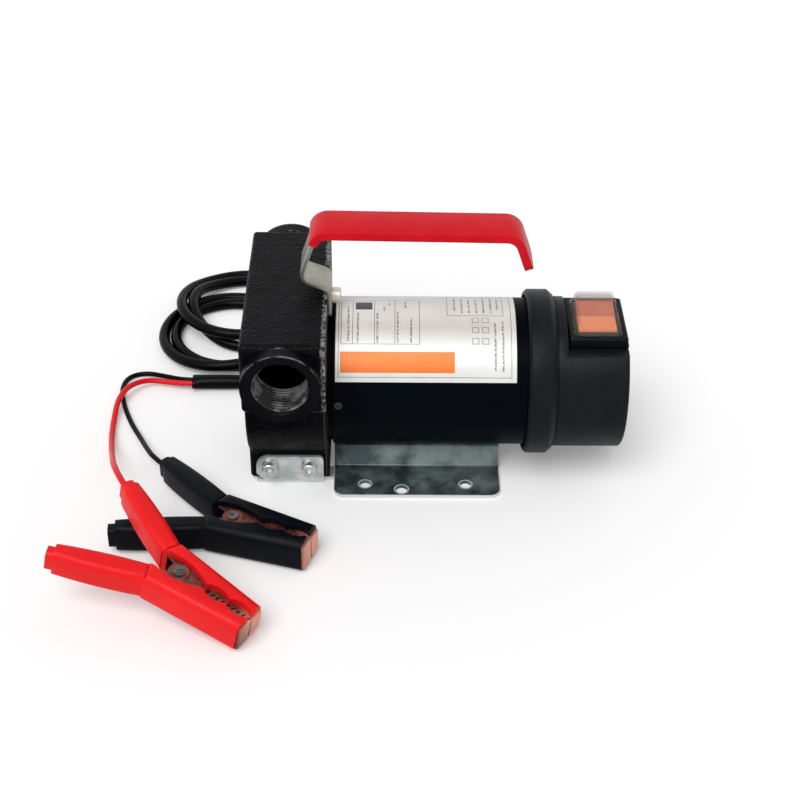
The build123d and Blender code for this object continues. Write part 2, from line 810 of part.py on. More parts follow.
with BuildPart() as armature_windings:
    for start_x in (core_start_x - winding_overhang, core_start_x + core_length):
        disc_x(start_x, winding_outer_radius, winding_overhang)
        disc_x(start_x, winding_inner_radius, winding_overhang, Mode.SUBTRACT)
    rims = armature_windings.edges().filter_by(GeomType.CIRCLE).filter_by(
        lambda e: e.radius > winding_outer_radius - 0.1
    )
    fillet(rims, radius=winding_overhang / 4)
    with BuildSketch(Plane.YZ.offset(core_start_x)):
        with Locations((0, axis_height)):
            with PolarLocations(slot_middle - slot_liner * 1.5, core_slot_count):
                Rectangle(core_slot_depth - 4 * slot_liner, core_slot_width - slot_liner)
    extrude(amount=core_length)
save(armature_windings, "armature_windings")

with BuildPart() as commutator:
    with BuildSketch(Plane.YZ.offset(commutator_x)):
        with Locations((0, axis_height)):
            Circle(commutator_radius)
            Circle(shaft_radius + close_fit, mode=Mode.SUBTRACT)
            with PolarLocations(commutator_radius, core_slot_count):
                Rectangle(2 * bar_gap_depth, bar_gap, mode=Mode.SUBTRACT)
    extrude(amount=commutator_length)
save(commutator, "commutator")

# ---- Rear bell, brushes and their holders ----
brush_x = commutator_x + commutator_length / 2
holder_start = commutator_radius + holder_gap
holder_x = brush_x - brush_width / 2 - holder_wall

with BuildPart() as rear_bell:
    disc_x(rear_bell_x, bell_radius, rear_bell_thickness)
    disc_x(rear_bell_x, rear_bearing_radius + close_fit, rear_bearing_width + clearance, Mode.SUBTRACT)
    disc_x(rear_bell_x, shaft_radius + clearance, rear_bell_thickness, Mode.SUBTRACT)
    for angle in pillar_angles:
        y, z = on_circle(pillar_circle, angle)
        disc_x(rear_bell_x, cap_screw_radius + close_fit, rear_bell_thickness, Mode.SUBTRACT, y=y, z=z)
    for angle in tie_bolt_angles:
        y, z = on_circle(tie_bolt_circle, angle)
        disc_x(rear_bell_x, tie_bolt_radius + close_fit, rear_bell_thickness, Mode.SUBTRACT, y=y, z=z)
    rear_edge = rear_bell.edges().filter_by(GeomType.CIRCLE).filter_by(
        lambda e: e.radius > bell_radius - 0.1 and e.center().X > can_end_x - 0.1
    )
    chamfer(rear_edge, length=edge_break)
save(rear_bell, "rear_bell")

with BuildPart() as rear_bearing:
    bearing(rear_bearing_x, shaft_tail_radius, rear_bearing_radius, rear_bearing_width)
save(rear_bearing, "rear_bearing")

with BuildPart() as tie_bolts:
    for angle in tie_bolt_angles:
        y, z = on_circle(tie_bolt_circle, angle)
        bolt_start_x = bell_inner_x - tie_bolt_depth + hole_end_gap
        disc_x(bolt_start_x, tie_bolt_radius, can_end_x - bolt_start_x, y=y, z=z)
        with BuildSketch(Plane.YZ.offset(can_end_x)):
            with Locations((y, z)):
                RegularPolygon(tie_bolt_head, 6)
        extrude(amount=tie_bolt_radius)
save(tie_bolts, "tie_bolts")


def brush_frame(way):
    """Plane across the brush on one side: its X is the motor's, its normal points outwards."""
    return Plane((brush_x, 0, axis_height + way * holder_start), x_dir=(1, 0, 0), z_dir=(0, 0, way))


with BuildPart() as brush_holders:
    for way in (-1, 1):
        with BuildSketch(brush_frame(way)):
            Rectangle(brush_width + 2 * holder_wall, brush_height + 2 * holder_wall)
            Rectangle(brush_width + 2 * close_fit, brush_height + 2 * close_fit, mode=Mode.SUBTRACT)
        extrude(amount=holder_length)
        with BuildSketch(brush_frame(way).offset(holder_length - holder_wall)):
            Rectangle(brush_width + 2 * holder_wall, brush_height + 2 * holder_wall)
        extrude(amount=holder_wall)
        foot_from = brush_width / 2 + holder_wall
        foot_to = rear_bell_x - brush_x
        with BuildSketch(brush_frame(way)):
            with Locations(((foot_from + foot_to) / 2, 0)):
                Rectangle(foot_to - foot_from, brush_height)
        extrude(amount=holder_length)
save(brush_holders, "brush_holders")

with BuildPart() as brushes:
    for way in (-1, 1):
        with BuildSketch(brush_frame(way).offset(commutator_radius + brush_gap - holder_start)):
            Rectangle(brush_width, brush_height)
        extrude(amount=brush_length)
        disc_x(holder_x, commutator_radius + brush_gap, brush_width + 2 * holder_wall, Mode.SUBTRACT)
save(brushes, "brushes")

with BuildPart() as brush_springs:
    for way in (-1, 1):
        spring_from = commutator_radius + brush_gap + brush_length
        spring_to = holder_start + holder_length - holder_wall
        base = brush_frame(way).offset(spring_from - holder_start)
        low, high = leaf_thickness * 0.55, spring_to - spring_from - leaf_thickness * 0.55
        middle, reach = (low + high) / 2, brush_height * 0.3
        with BuildSketch(Plane(base.origin, x_dir=(0, 1, 0), z_dir=(way, 0, 0))):
            with BuildLine():
                Polyline((-reach, low), (reach, low), (-reach, middle), (reach, high), (-reach, high))
            trace(line_width=leaf_thickness)
        extrude(amount=brush_width / 3, both=True)
save(brush_springs, "brush_springs")

# ---- Foil data label wrapped round the can ----
label_x = can_start_x + label_setback

with BuildPart() as data_label:
    with BuildSketch(Plane.YZ.offset(label_x)):
        label_radius = can_radius + close_fit
        ring_sector(label_radius, label_radius + label_thickness, label_start_angle, label_end_angle)
    extrude(amount=label_length)
save(data_label, "data_label")

# ---- Rear cap: flared collar, barrel with a flat for the switch, pillars for its screws ----
taper_end_x = cap_start_x + collar_length + collar_taper_length
collar_end_x = cap_start_x + collar_length
cap_inner_radius = barrel_radius - cap_wall
end_wall_x = cap_end_x - cap_wall
pillar_start_x = can_end_x + pillar_gap
switch_body_length = rocker_length + 2 * clearance + 2 * switch_wall
switch_body_width = 2 * (rocker_end_radius + clearance + switch_wall)
gland_seat_y, gland_seat_z = on_circle(barrel_radius - spot_face_depth, gland_angle)
gland_way = (0, cos(radians(gland_angle)), sin(radians(gland_angle)))
gland_plane = Plane((gland_x, gland_seat_y, gland_seat_z), x_dir=(1, 0, 0), z_dir=gland_way)

with BuildPart() as end_cap:
    turned_profile(
        (cap_start_x, 0),
        (cap_start_x, collar_radius - collar_chamfer),
        (cap_start_x + collar_chamfer, collar_radius),
        (collar_end_x, collar_radius),
        (taper_end_x, barrel_radius + collar_taper_step),
        (taper_end_x, barrel_radius - cap_groove_depth),
        (barrel_start_x, barrel_radius - cap_groove_depth),
        (barrel_start_x, barrel_radius),
        (cap_end_x, barrel_radius),
        (cap_end_x, 0),
    )
    back_edge = end_cap.faces().sort_by(Axis.X)[-1].edges()
    fillet(back_edge, radius=cap_edge_radius)
    with BuildSketch(Plane.XZ):
        with Locations((flat_start_x, flat_z)):
            Rectangle(cap_length, barrel_radius, align=(Align.MIN, Align.MIN))
    extrude(amount=collar_radius, both=True, mode=Mode.SUBTRACT)
    disc_x(cap_start_x, collar_mouth_radius, collar_mouth_depth, Mode.SUBTRACT)
    disc_x(cap_start_x, can_radius + close_fit, can_end_x - cap_start_x, Mode.SUBTRACT)
    disc_x(can_end_x, cap_inner_radius, flat_start_x - cap_wall - can_end_x, Mode.SUBTRACT)
    with BuildSketch(Plane.YZ.offset(flat_start_x - cap_wall)):
        with Locations((0, axis_height)):
            Circle(cap_inner_radius)
        with Locations((0, flat_z - cap_wall - barrel_radius)):
            Rectangle(2 * barrel_radius, 2 * barrel_radius, mode=Mode.INTERSECT)
    extrude(amount=end_wall_x - flat_start_x + cap_wall, mode=Mode.SUBTRACT)
    for angle in pillar_angles:
        y, z = on_circle(pillar_circle, angle)
        disc_x(pillar_start_x, pillar_radius, end_wall_x - pillar_start_x, y=y, z=z)
        disc_x(can_end_x, cap_screw_radius + close_fit, cap_end_x - can_end_x, Mode.SUBTRACT, y=y, z=z)
        disc_x(end_wall_x, cap_screw_head_radius + close_fit, cap_wall, Mode.SUBTRACT, y=y, z=z)
    for angle in tie_bolt_angles:
        y, z = on_circle(tie_bolt_circle, angle)
        disc_x(can_end_x, tie_bolt_head + clearance, tie_bolt_radius + clearance, Mode.SUBTRACT, y=y, z=z)
    with BuildSketch(Plane.XY.offset(flat_z)):
        with Locations((switch_x, 0)):
            Rectangle(switch_body_length + 2 * close_fit, switch_body_width + 2 * close_fit)
    extrude(amount=-cap_wall, mode=Mode.SUBTRACT)
    with BuildSketch(gland_plane):
        Circle(gland_flange_radius + close_fit)
    extrude(amount=gland_flange_thickness, mode=Mode.SUBTRACT)
    with BuildSketch(gland_plane):
        Circle(gland_root_radius + close_fit)
    extrude(amount=-2 * cap_wall, mode=Mode.SUBTRACT)
save(end_cap, "end_cap")

with BuildPart() as cap_screws:
    for angle in pillar_angles:
        y, z = on_circle(pillar_circle, angle)
        screw_end_x = rear_bell_x + hole_end_gap
        disc_x(screw_end_x, cap_screw_radius, end_wall_x - screw_end_x, y=y, z=z)
        disc_x(end_wall_x, cap_screw_head_radius, cap_screw_head_height, y=y, z=z)
        with BuildSketch(Plane.YZ.offset(end_wall_x + cap_screw_head_height)):
            with Locations((y, z)):
                Rectangle(2 * cap_screw_radius, slot_width)
                Rectangle(slot_width, 2 * cap_screw_radius)
        extrude(amount=-cap_screw_head_height / 2, mode=Mode.SUBTRACT)
save(cap_screws, "cap_screws")

# ---- Cable gland: flange on the cap, then a tapered strain relief ----
with BuildPart() as cable_gland:
    with BuildSketch(gland_plane):
        Circle(gland_flange_radius)
    extrude(amount=gland_flange_thickness)
    with BuildSketch(gland_plane):
        Circle(gland_root_radius)
    extrude(amount=-cap_wall)
    with BuildSketch(gland_plane.offset(gland_flange_thickness)):
        Circle(gland_root_radius)
    with BuildSketch(gland_plane.offset(gland_flange_thickness + gland_length)):
        Circle(gland_tip_radius)
    loft()
    for k in range(1, 4):
        with BuildSketch(gland_plane.offset(gland_flange_thickness + gland_rib_pitch * k)):
            Circle(gland_root_radius)
            Circle(cable_radius + clearance * (4 - k), mode=Mode.SUBTRACT)
        extrude(amount=-gland_rib_groove, mode=Mode.SUBTRACT)
save(cable_gland, "cable_gland")

# ---- Rocker switch: housing, rocker on its axle, clear splash cover ----
bezel_top = flat_z + bezel_height
hinge_z = bezel_top - rocker_hinge_drop

with BuildPart() as switch_housing:
    with BuildSketch(Plane.XY.offset(flat_z)):
        with Locations((switch_x, 0)):
            flange_size = (bezel_length + bezel_lip, bezel_width + bezel_lip)
            RectangleRounded(*flange_size, bezel_corner + bezel_lip / 2)
    extrude(amount=bezel_flange)
    with BuildSketch(Plane.XY.offset(flat_z)):
        with Locations((switch_x, 0)):
            RectangleRounded(bezel_length, bezel_width, bezel_corner)
    extrude(amount=bezel_height)
    chamfer(switch_housing.faces().sort_by(Axis.Z)[-1].edges(), length=bezel_chamfer)
    with BuildSketch(Plane.XY.offset(flat_z)):
        with Locations((switch_x, 0)):
            Rectangle(switch_body_length, switch_body_width)
    extrude(amount=-switch_body_depth)
    with BuildSketch(Plane.XY.offset(bezel_top)):
        with Locations((switch_x, 0)):
            Rectangle(rocker_length + 2 * clearance, 2 * (rocker_end_radius + clearance))
    extrude(amount=-rocker_pocket_depth, mode=Mode.SUBTRACT)
    with BuildSketch(Plane.YZ.offset(switch_x)):
        with Locations((0, hinge_z)):
            Circle(rocker_axle_radius + running_fit)
    extrude(amount=rocker_length / 2 + clearance + switch_wall / 2, both=True, mode=Mode.SUBTRACT)
save(switch_housing, "switch_housing")

with BuildPart() as switch_rocker:
    wing = rocker_end_radius + rocker_axle_radius
    wing_rise = wing * tan(radians(rocker_vee))
    with BuildSketch(Plane.YZ.offset(switch_x)):
        with Locations((0, hinge_z)):
            Circle(rocker_end_radius)
        with BuildLine():
            Polyline(
                (-wing, hinge_z - rocker_belly),
                (wing, hinge_z - rocker_belly),
                (wing, hinge_z + rocker_valley + wing_rise),
                (0, hinge_z + rocker_valley),
                (-wing, hinge_z + rocker_valley + wing_rise),
                close=True,
            )
        make_face(mode=Mode.INTERSECT)
    extrude(amount=rocker_length / 2, both=True)
    top_edges = switch_rocker.edges().filter_by(Axis.X).group_by(Axis.Z)[-1]
    fillet(top_edges, radius=edge_break)
    with BuildSketch(Plane.YZ.offset(switch_x)):
        with Locations((0, hinge_z)):
            Circle(rocker_axle_radius)
    extrude(amount=rocker_length / 2 + clearance, both=True)
switch_rocker.part = switch_rocker.part.rotate(Axis((0, 0, hinge_z), (1, 0, 0)), rocker_tilt)
save(switch_rocker, "switch_rocker")


def boot_form(inset, mode=Mode.ADD):
    """Tapered form of the splash cover, drawn in by a wall on every side but the open one."""
    corner = boot_corner_radius - inset / 2
    with BuildSketch(Plane.XY.offset(bezel_top)) as foot:
        with Locations((switch_x, 0)):
            RectangleRounded(boot_length - 2 * inset, boot_width - 2 * inset, corner)
    with BuildSketch(Plane.XY.offset(bezel_top + boot_height - inset)) as crown:
        with Locations((switch_x, 0)):
            RectangleRounded(boot_top_length - 2 * inset, boot_top_width - 2 * inset, corner)
    loft(sections=[foot.sketch, crown.sketch], mode=mode)


with BuildPart() as switch_boot:
    boot_form(0)
    fillet(switch_boot.faces().sort_by(Axis.Z)[-1].edges(), radius=boot_lip)
    with BuildSketch(Plane.XY.offset(bezel_top)):
        with Locations((switch_x, 0)):
            lip_size = (boot_length + 2 * boot_lip, boot_width + 2 * boot_lip)
            RectangleRounded(*lip_size, boot_corner_radius + boot_lip)
    extrude(amount=boot_lip)
    boot_form(boot_wall, Mode.SUBTRACT)
save(switch_boot, "switch_boot")

# ---- Handle: bent strap, moulded grip and the screw that holds it to the head ----
strap_x = plate_rear_x + strap_thickness / 2
strap_start_z = axis_height + can_radius + strap_gap_above_can
handle_places = (strap_leg_place, handle_top_front_place, handle_top_rear_place, handle_tip_place)
handle_points = [(x, block_top + rise) for x, rise in handle_places]
strap_leg, handle_top_front, handle_top_rear, handle_tip = handle_points
strap_points = [
    (strap_x, strap_start_z),
    (strap_x, block_top + strap_step_rise),
    *handle_points,
]
strap_bends = [step_bend, leg_bend, handle_bend, handle_bend]
leg_base = Vector(*strap_leg)
leg_top = Vector(*handle_top_front)
grip_from = leg_base + (leg_top - leg_base) * grip_start
tip_way = (Vector(*handle_tip) - Vector(*handle_top_rear)).normalized()
grip_to = Vector(*handle_tip) + tip_way * grip_end_cover


def strap_solid(thickness, width):
    """The bent strap at a thickness and width, so the grip's slot follows the strap."""
    with BuildSketch(Plane.XZ) as band:
        with BuildLine():
            FilletPolyline(*strap_points, radius=strap_bends)
        trace(line_width=thickness)
    extrude(band.sketch, amount=width / 2, both=True)


with BuildPart() as handle_strap:
    strap_solid(strap_thickness, strap_width)
    with BuildSketch(Plane.YZ.offset(plate_rear_x)):
        with Locations((0, handle_screw_z)):
            Circle(handle_screw_radius + close_fit)
    extrude(amount=strap_thickness, mode=Mode.SUBTRACT)
    tab_corners = handle_strap.edges().filter_by(Axis.X).group_by(Axis.Z)[0]
    fillet(tab_corners, radius=strap_corner)
save(handle_strap, "handle_strap")

with BuildPart(mode=Mode.PRIVATE) as grip_slot:
    strap_solid(strap_thickness, strap_width + 2 * close_fit)

with BuildPart() as handle_grip:
    with BuildSketch(Plane.XZ):
        with BuildLine():
            start, end = [(spot.X, spot.Y) for spot in (grip_from, grip_to)]
            FilletPolyline(start, handle_top_front, handle_top_rear, end, radius=handle_bend)
        trace(line_width=grip_thickness)
    extrude(amount=grip_width / 2, both=True)
    tip_corners = handle_grip.edges().filter_by(
        lambda e: abs(e.length - grip_thickness) < 0.1 and e.center().X > handle_tip[0]
    )
    fillet(tip_corners, radius=grip_corner)
    add(grip_slot.part, mode=Mode.SUBTRACT)
save(handle_grip, "handle_grip")

with BuildPart() as handle_screw:
    head_seat_x = plate_rear_x + strap_thickness
    head_height = 2 * handle_screw_radius
    reach = head_seat_x - head_rear_x + handle_screw_length - hole_end_gap
    disc_x(head_seat_x, handle_screw_radius, -reach, z=handle_screw_z)
    disc_x(head_seat_x, handle_screw_head, head_height, z=handle_screw_z)
    chamfer(handle_screw.faces().sort_by(Axis.X)[-1].edges(), length=edge_break)
    with BuildSketch(Plane.YZ.offset(head_seat_x + head_height)):
        with Locations((0, handle_screw_z)):
            RegularPolygon(handle_screw_radius * socket_share, 6)
    extrude(amount=-handle_screw_radius * socket_share, mode=Mode.SUBTRACT)
save(handle_screw, "handle_screw")

# ---- Base bracket: hat-section sheet, necks and upturned ears for the pump head's foot ----
seat_z = axis_height - can_radius
bracket_end_x = bracket_start_x + bracket_length
ear_end_x = ear_start_x + ear_length
ear_outer_y = foot_width / 2 + sheet

with BuildPart() as base_bracket:
    with BuildSketch(Plane.YZ.offset(bracket_start_x)):
        with BuildLine():
            FilletPolyline(
                (-bracket_width / 2, sheet / 2),
                (-web_foot_y, sheet / 2),
                (-seat_half_width, seat_z - sheet / 2),
                (seat_half_width, seat_z - sheet / 2),
                (web_foot_y, sheet / 2),
                (bracket_width / 2, sheet / 2),
                radius=bracket_bend,
            )
        trace(line_width=sheet)
    extrude(amount=bracket_length)
    flange_corners = base_bracket.edges().filter_by(Axis.Z).filter_by(
        lambda e: abs(e.center().Y) > bracket_width / 2 - 0.1
    )
    fillet(flange_corners, radius=bracket_corner)
    for side in (-1, 1):
        with BuildSketch(Plane.XY):
            neck_middle = side * (strip_inner_y + neck_edge_y) / 2
            with Locations(((ear_end_x + bracket_start_x) / 2, neck_middle)):
                Rectangle(bracket_start_x - ear_end_x + sheet, neck_edge_y - strip_inner_y)
            with Locations(((ear_start_x + ear_end_x) / 2, side * (strip_inner_y + ear_outer_y) / 2)):
                Rectangle(ear_length, ear_outer_y - strip_inner_y)
        extrude(amount=sheet)
        ear_plane = Plane((0, side * ear_outer_y, 0), x_dir=(-side, 0, 0), z_dir=(0, side, 0))
        with BuildSketch(ear_plane):
            with BuildLine():
                Polyline(
                    (-side * (ear_start_x + ear_cut), 0),
                    (-side * ear_end_x, 0),
                    (-side * ear_end_x, ear_height),
                    (-side * ear_start_x, ear_height),
                    (-side * ear_start_x, ear_cut),
                    close=True,
                )
            make_face()
            with Locations(*[(-side * x, ear_screw_z) for x in ear_screw_xs]):
                Circle(ear_screw_radius + close_fit, mode=Mode.SUBTRACT)
        extrude(amount=-sheet)
    ear_corners = base_bracket.edges().filter_by(Axis.Y).filter_by(
        lambda e: abs(e.center().Z - ear_height) < 0.1 and abs(e.center().Y) > strip_inner_y
    )
    fillet(ear_corners.group_by(Axis.X)[0], radius=ear_corner)
    fillet(ear_corners.group_by(Axis.X)[-1], radius=ear_rear_corner)
    folds = base_bracket.edges().filter_by(Axis.X).filter_by(
        lambda e: e.center().Z < 0.1 and abs(abs(e.center().Y) - ear_outer_y) < 0.1
    )
    fillet(folds, radius=ear_fold)
    with BuildSketch(Plane.XY):
        with GridLocations(hole_spacing_x, hole_spacing_y, 2, 2):
            Circle(hole_radius)
        with Locations((spare_hole_x, spare_hole_y), (spare_hole_x, -spare_hole_y)):
            Circle(spare_hole_radius)
    extrude(amount=sheet, mode=Mode.SUBTRACT)
save(base_bracket, "base_bracket")


def ear_screw_plane(side, distance=0.0):
    """Plane on the outer face of an ear, looking outwards."""
    return Plane((0, side * (ear_outer_y + distance), 0), x_dir=(-side, 0, 0), z_dir=(0, side, 0))


with BuildPart() as spring_washers:
    for side in (-1, 1):
        with BuildSketch(ear_screw_plane(side)):
            with Locations(*[(-side * x, ear_screw_z) for x in ear_screw_xs]):
                Circle(washer_radius)
                Circle(ear_screw_radius + close_fit, mode=Mode.SUBTRACT)
                with Locations((washer_radius, 0)):
                    Rectangle(washer_radius * 2, slot_width, mode=Mode.SUBTRACT)
        extrude(amount=washer_thickness)
save(spring_washers, "spring_washers")

with BuildPart() as bracket_screws:
    for side in (-1, 1):
        for x in ear_screw_xs:
            with BuildSketch(ear_screw_plane(side, washer_thickness)):
                with Locations((-side * x, ear_screw_z)):
                    Circle(ear_screw_radius)
            extrude(amount=-(washer_thickness + sheet + ear_screw_grip - hole_end_gap))
            with BuildSketch(ear_screw_plane(side, washer_thickness)):
                with Locations((-side * x, ear_screw_z)):
                    Circle(ear_screw_head)
            extrude(amount=ear_screw_head_height)
            rim = bracket_screws.faces().sort_by(Axis.Y)[0 if side < 0 else -1].edges()
            chamfer(rim, length=edge_break)
            with BuildSketch(ear_screw_plane(side, washer_thickness + ear_screw_head_height)):
                with Locations((-side * x, ear_screw_z)):
                    RegularPolygon(ear_screw_radius * socket_share, 6)
            extrude(amount=-ear_screw_radius * socket_share, mode=Mode.SUBTRACT)
save(bracket_screws, "bracket_screws")


# ---- Battery clamps, built about the pivot and then laid in place ----

handle_run = Vector(*handle_tail) - Vector(*handle_root)
handle_lean = degrees(atan2(handle_run.Y, handle_run.X))
moving_jaw_half_height = fixed_jaw_half_height + jaw_sheet + jaw_gap


def along_handle(share, sideways=0.0):
    """Location on the handle's centreline, turned to it, moved sideways from it."""
    across = Vector(-handle_run.Y, handle_run.X).normalized() * sideways
    spot = Vector(*handle_root) + handle_run * share + across
    return Location((spot.X, spot.Y), handle_lean)


def jaw_plate(half_height):
    """Solid envelope of one sheet half: jaw, lug round the pivot and strip inside the handle."""
    with BuildSketch(Plane.XY.offset(-half_height)) as plate:
        with BuildLine():
            Polyline(
                (handle_root[0], handle_root[1] - jaw_root_drop),
                (handle_root[0], jaw_root_y),
                (jaw_reach, jaw_tip_y),
                (jaw_reach, jaw_meeting_y),
                (lug_radius - jaw_meeting_y, jaw_meeting_y),
                close=True,
            )
        make_face()
        Circle(lug_radius)
        with Locations(along_handle(sum(strip_reach) / 2)):
            Rectangle(handle_run.length * (strip_reach[1] - strip_reach[0]), strip_width)
    extrude(plate.sketch, amount=2 * half_height)


def clamp_half_jaw(half_height):
    """U-shaped sheet jaw, open towards the other jaw, with a closed tip and toothed edges."""
    jaw_plate(half_height)
    with BuildSketch(Plane.XY.offset(-half_height + jaw_sheet)) as hollow:
        Circle(lug_radius + jaw_sheet)
        with BuildLine():
            Polyline(
                (handle_root[0] - jaw_sheet, -lug_radius),
                (handle_root[0] - jaw_sheet, jaw_root_y - jaw_sheet),
                (jaw_reach - jaw_sheet, jaw_tip_y - jaw_sheet),
                (jaw_reach - jaw_sheet, -lug_radius),
                close=True,
            )
        make_face()
        with Locations(along_handle(sum(strip_reach) / 2, 2 * jaw_sheet)):
            Rectangle(handle_run.length, strip_width + 2 * jaw_sheet)
    extrude(hollow.sketch, amount=2 * (half_height - jaw_sheet), mode=Mode.SUBTRACT)
    with BuildSketch(Plane.XY.offset(-half_height)) as openings:
        Circle(clamp_rivet_radius + running_fit)
        for k in range(tooth_count):
            with Locations((jaw_reach - tooth_pitch * (k + 1), jaw_meeting_y)):
                Polygon((0, -1), (0.8 * tooth_pitch, -1), (0.4 * tooth_pitch, tooth_depth), align=None)
    extrude(openings.sketch, amount=2 * half_height, mode=Mode.SUBTRACT)


def clamp_sleeve():
    """Handle sleeve: a bowed grip with a rounded section."""
    with BuildSketch(Plane.XY.offset(-sleeve_half_height)) as grip:
        with BuildLine():
            sides = []
            for way in (-1, 1):
                seam, waist, tail = (
                    along_handle(share, way * half_width).position
                    for share, half_width in (
                        (sleeve_start, grip_half_width),
                        (0.5, grip_half_width + grip_bow),
                        (1.0, grip_half_width - 2 * grip_bow),
                    )
                )
                sides.append(ThreePointArc(seam, waist, tail))
            Line(sides[0] @ 0, sides[1] @ 0)
            Line(sides[0] @ 1, sides[1] @ 1)
        make_face()
    extrude(grip.sketch, amount=2 * sleeve_half_height)


def clamp_shroud():
    """Cover over a jaw: straight back, scalloped edge along the meeting line."""
    with BuildSketch(Plane.XY.offset(-shroud_half_height)) as shroud:
        with BuildLine():
            back = along_handle(0, -grip_half_width - grip_bow).position
            inside = along_handle(0, grip_half_width - grip_bow).position
            tip_x = jaw_reach - shroud_setback
            crests = [(tip_x - scallop_pitch * k, jaw_meeting_y + jaw_sheet) for k in range(3)]
            Polyline(back, (tip_x, jaw_tip_y + cover_wall), crests[0])
            for near, far in zip(crests, crests[1:]):
                hollow = ((near[0] + far[0]) / 2, near[1] + scallop_depth)
                ThreePointArc(near, hollow, far)
            shoulder = (-clamp_rivet_radius, lug_radius + cover_wall)
            ThreePointArc(crests[-1], (lug_radius + clamp_rivet_radius, lug_radius), shoulder)
            Polyline(shoulder, inside, back)
        make_face()
    extrude(shroud.sketch, amount=2 * shroud_half_height)


nub_plane = Plane(
    origin=(*handle_tail, 0), x_dir=(-handle_run.Y, handle_run.X, 0), z_dir=(handle_run.X, handle_run.Y, 0)
)
jaw_heights = {"fixed": fixed_jaw_half_height, "moving": moving_jaw_half_height}
wire_bore = {"red": red_wire_radius, "black": black_wire_radius}


def clamp_cover(half_height, bore):
    """Both rubber covers of one half, hollowed for its sheet jaw and bored for the wire."""
    with BuildPart() as sleeve:
        clamp_sleeve()
        sides = sleeve.edges().filter_by(GeomType.CIRCLE)
        fillet(sides, radius=grip_rounding)
        with BuildSketch(nub_plane) as nub:
            RectangleRounded(*nub_size, nub_corner)
        extrude(nub.sketch, amount=nub_length)
    with BuildPart() as shroud:
        clamp_shroud()
        backs = shroud.edges().filter_by(GeomType.LINE).filter_by(
            lambda e: e.center().Y > jaw_tip_y + cover_wall and abs(e.center().Z) > shroud_half_height - 0.1
        )
        fillet(backs, radius=shroud_rounding)
    with BuildPart() as sheet_room:
        jaw_plate(half_height)
    with BuildPart() as cover:
        add(sleeve.part)
        add(shroud.part)
        with BuildSketch(nub_plane.offset(nub_length)) as way_in:
            Circle(bore + close_fit)
        extrude(way_in.sketch, amount=-wire_grip, mode=Mode.SUBTRACT)
        add(sheet_room.part, mode=Mode.SUBTRACT)
    return cover


def clamp_jaw(half_height):
    with BuildPart() as jaw:
        clamp_half_jaw(half_height)
    return jaw


def rivet_through():
    """Shouldered rivet through both pairs of lugs, with a head on each side."""
    with BuildPart() as rivet:
        with BuildSketch(Plane.XY.offset(-moving_jaw_half_height)) as shank:
            Circle(clamp_rivet_radius)
        extrude(shank.sketch, amount=2 * moving_jaw_half_height)
        for way in (-1, 1):
            seat = Plane((0, 0, way * moving_jaw_half_height), x_dir=(1, 0, 0), z_dir=(0, 0, way))
            with BuildSketch(seat.offset(running_fit)) as head:
                Circle(rivet_head_radius)
            extrude(head.sketch, amount=rivet_head_height)
            with BuildSketch(seat) as neck:
                Circle(clamp_rivet_radius)
            extrude(neck.sketch, amount=rivet_head_height)
            with BuildSketch(seat.offset(rivet_head_height + running_fit)) as dimple:
                Circle(clamp_rivet_radius / 2)
            extrude(dimple.sketch, amount=-rivet_head_height / 2, mode=Mode.SUBTRACT)
    return rivet


def clamp_spring():
    """Torsion spring: close turns round the rivet and one leg along each handle."""
    stack = [(turn - (spring_turns - 1) / 2) * spring_wire * spring_lap for turn in range(spring_turns)]
    with BuildPart() as spring:
        for level in stack:
            with BuildSketch(Plane.XZ) as ring:
                with Locations((spring_coil_radius, level)):
                    RegularPolygon(spring_wire / 2, 8)
            revolve(ring.sketch, axis=Axis.Z)
        for way, level in ((-1, stack[0]), (1, stack[-1])):
            foot = along_handle(leg_share, -leg_offset).position
            start = Vector(-spring_wire / 2, way * spring_coil_radius, level)
            leg = Vector(foot.X, way * foot.Y, level) - start
            with BuildSketch(Plane(start, z_dir=leg)) as wire:
                RegularPolygon(spring_wire / 2, 8)
            extrude(wire.sketch, amount=leg.length)
    return spring


def clamp_plane(tip_x, tip_y, yaw, pitch):
    """Plane at a clamp's pivot, with its lower tip edge on the ground."""
    yaw, pitch = radians(yaw), radians(pitch)
    along = Vector(cos(pitch) * cos(yaw), cos(pitch) * sin(yaw), -sin(pitch))
    up = Vector(sin(pitch) * cos(yaw), sin(pitch) * sin(yaw), cos(pitch))
    pivot_z = jaw_reach * sin(pitch) + shroud_half_height * cos(pitch)
    back = jaw_reach * cos(pitch)
    return Plane((tip_x - back * cos(yaw), tip_y - back * sin(yaw), pivot_z), x_dir=along, z_dir=up)


def lay(shape, plane, name):
    """Write a clamp piece in the place its plane gives it."""
    laid = shape.moved(plane.location)
    laid.label = name
    export_step(laid, f"parts/{name}.step")


clamp_planes = {"red": clamp_plane(*red_clamp_place), "black": clamp_plane(*black_clamp_place)}
rivet_shape = rivet_through()
spring_shape = clamp_spring()

for colour, plane in clamp_planes.items():
    for half, height in jaw_heights.items():
        jaw = clamp_jaw(height).part
        cover = clamp_cover(height, wire_bore[colour]).part
        if half == "moving":
            jaw, cover = jaw.mirror(Plane.XZ), cover.mirror(Plane.XZ)
        lay(jaw, plane, f"{colour}_clamp_{half}_jaw")
        lay(cover, plane, f"{colour}_clamp_{half}_cover")
    lay(rivet_shape.part, plane, f"{colour}_clamp_rivet")
    lay(spring_shape.part, plane, f"{colour}_clamp_spring")

# ---- Supply cable, its coil, the sleeve over the split, and the two wires ----

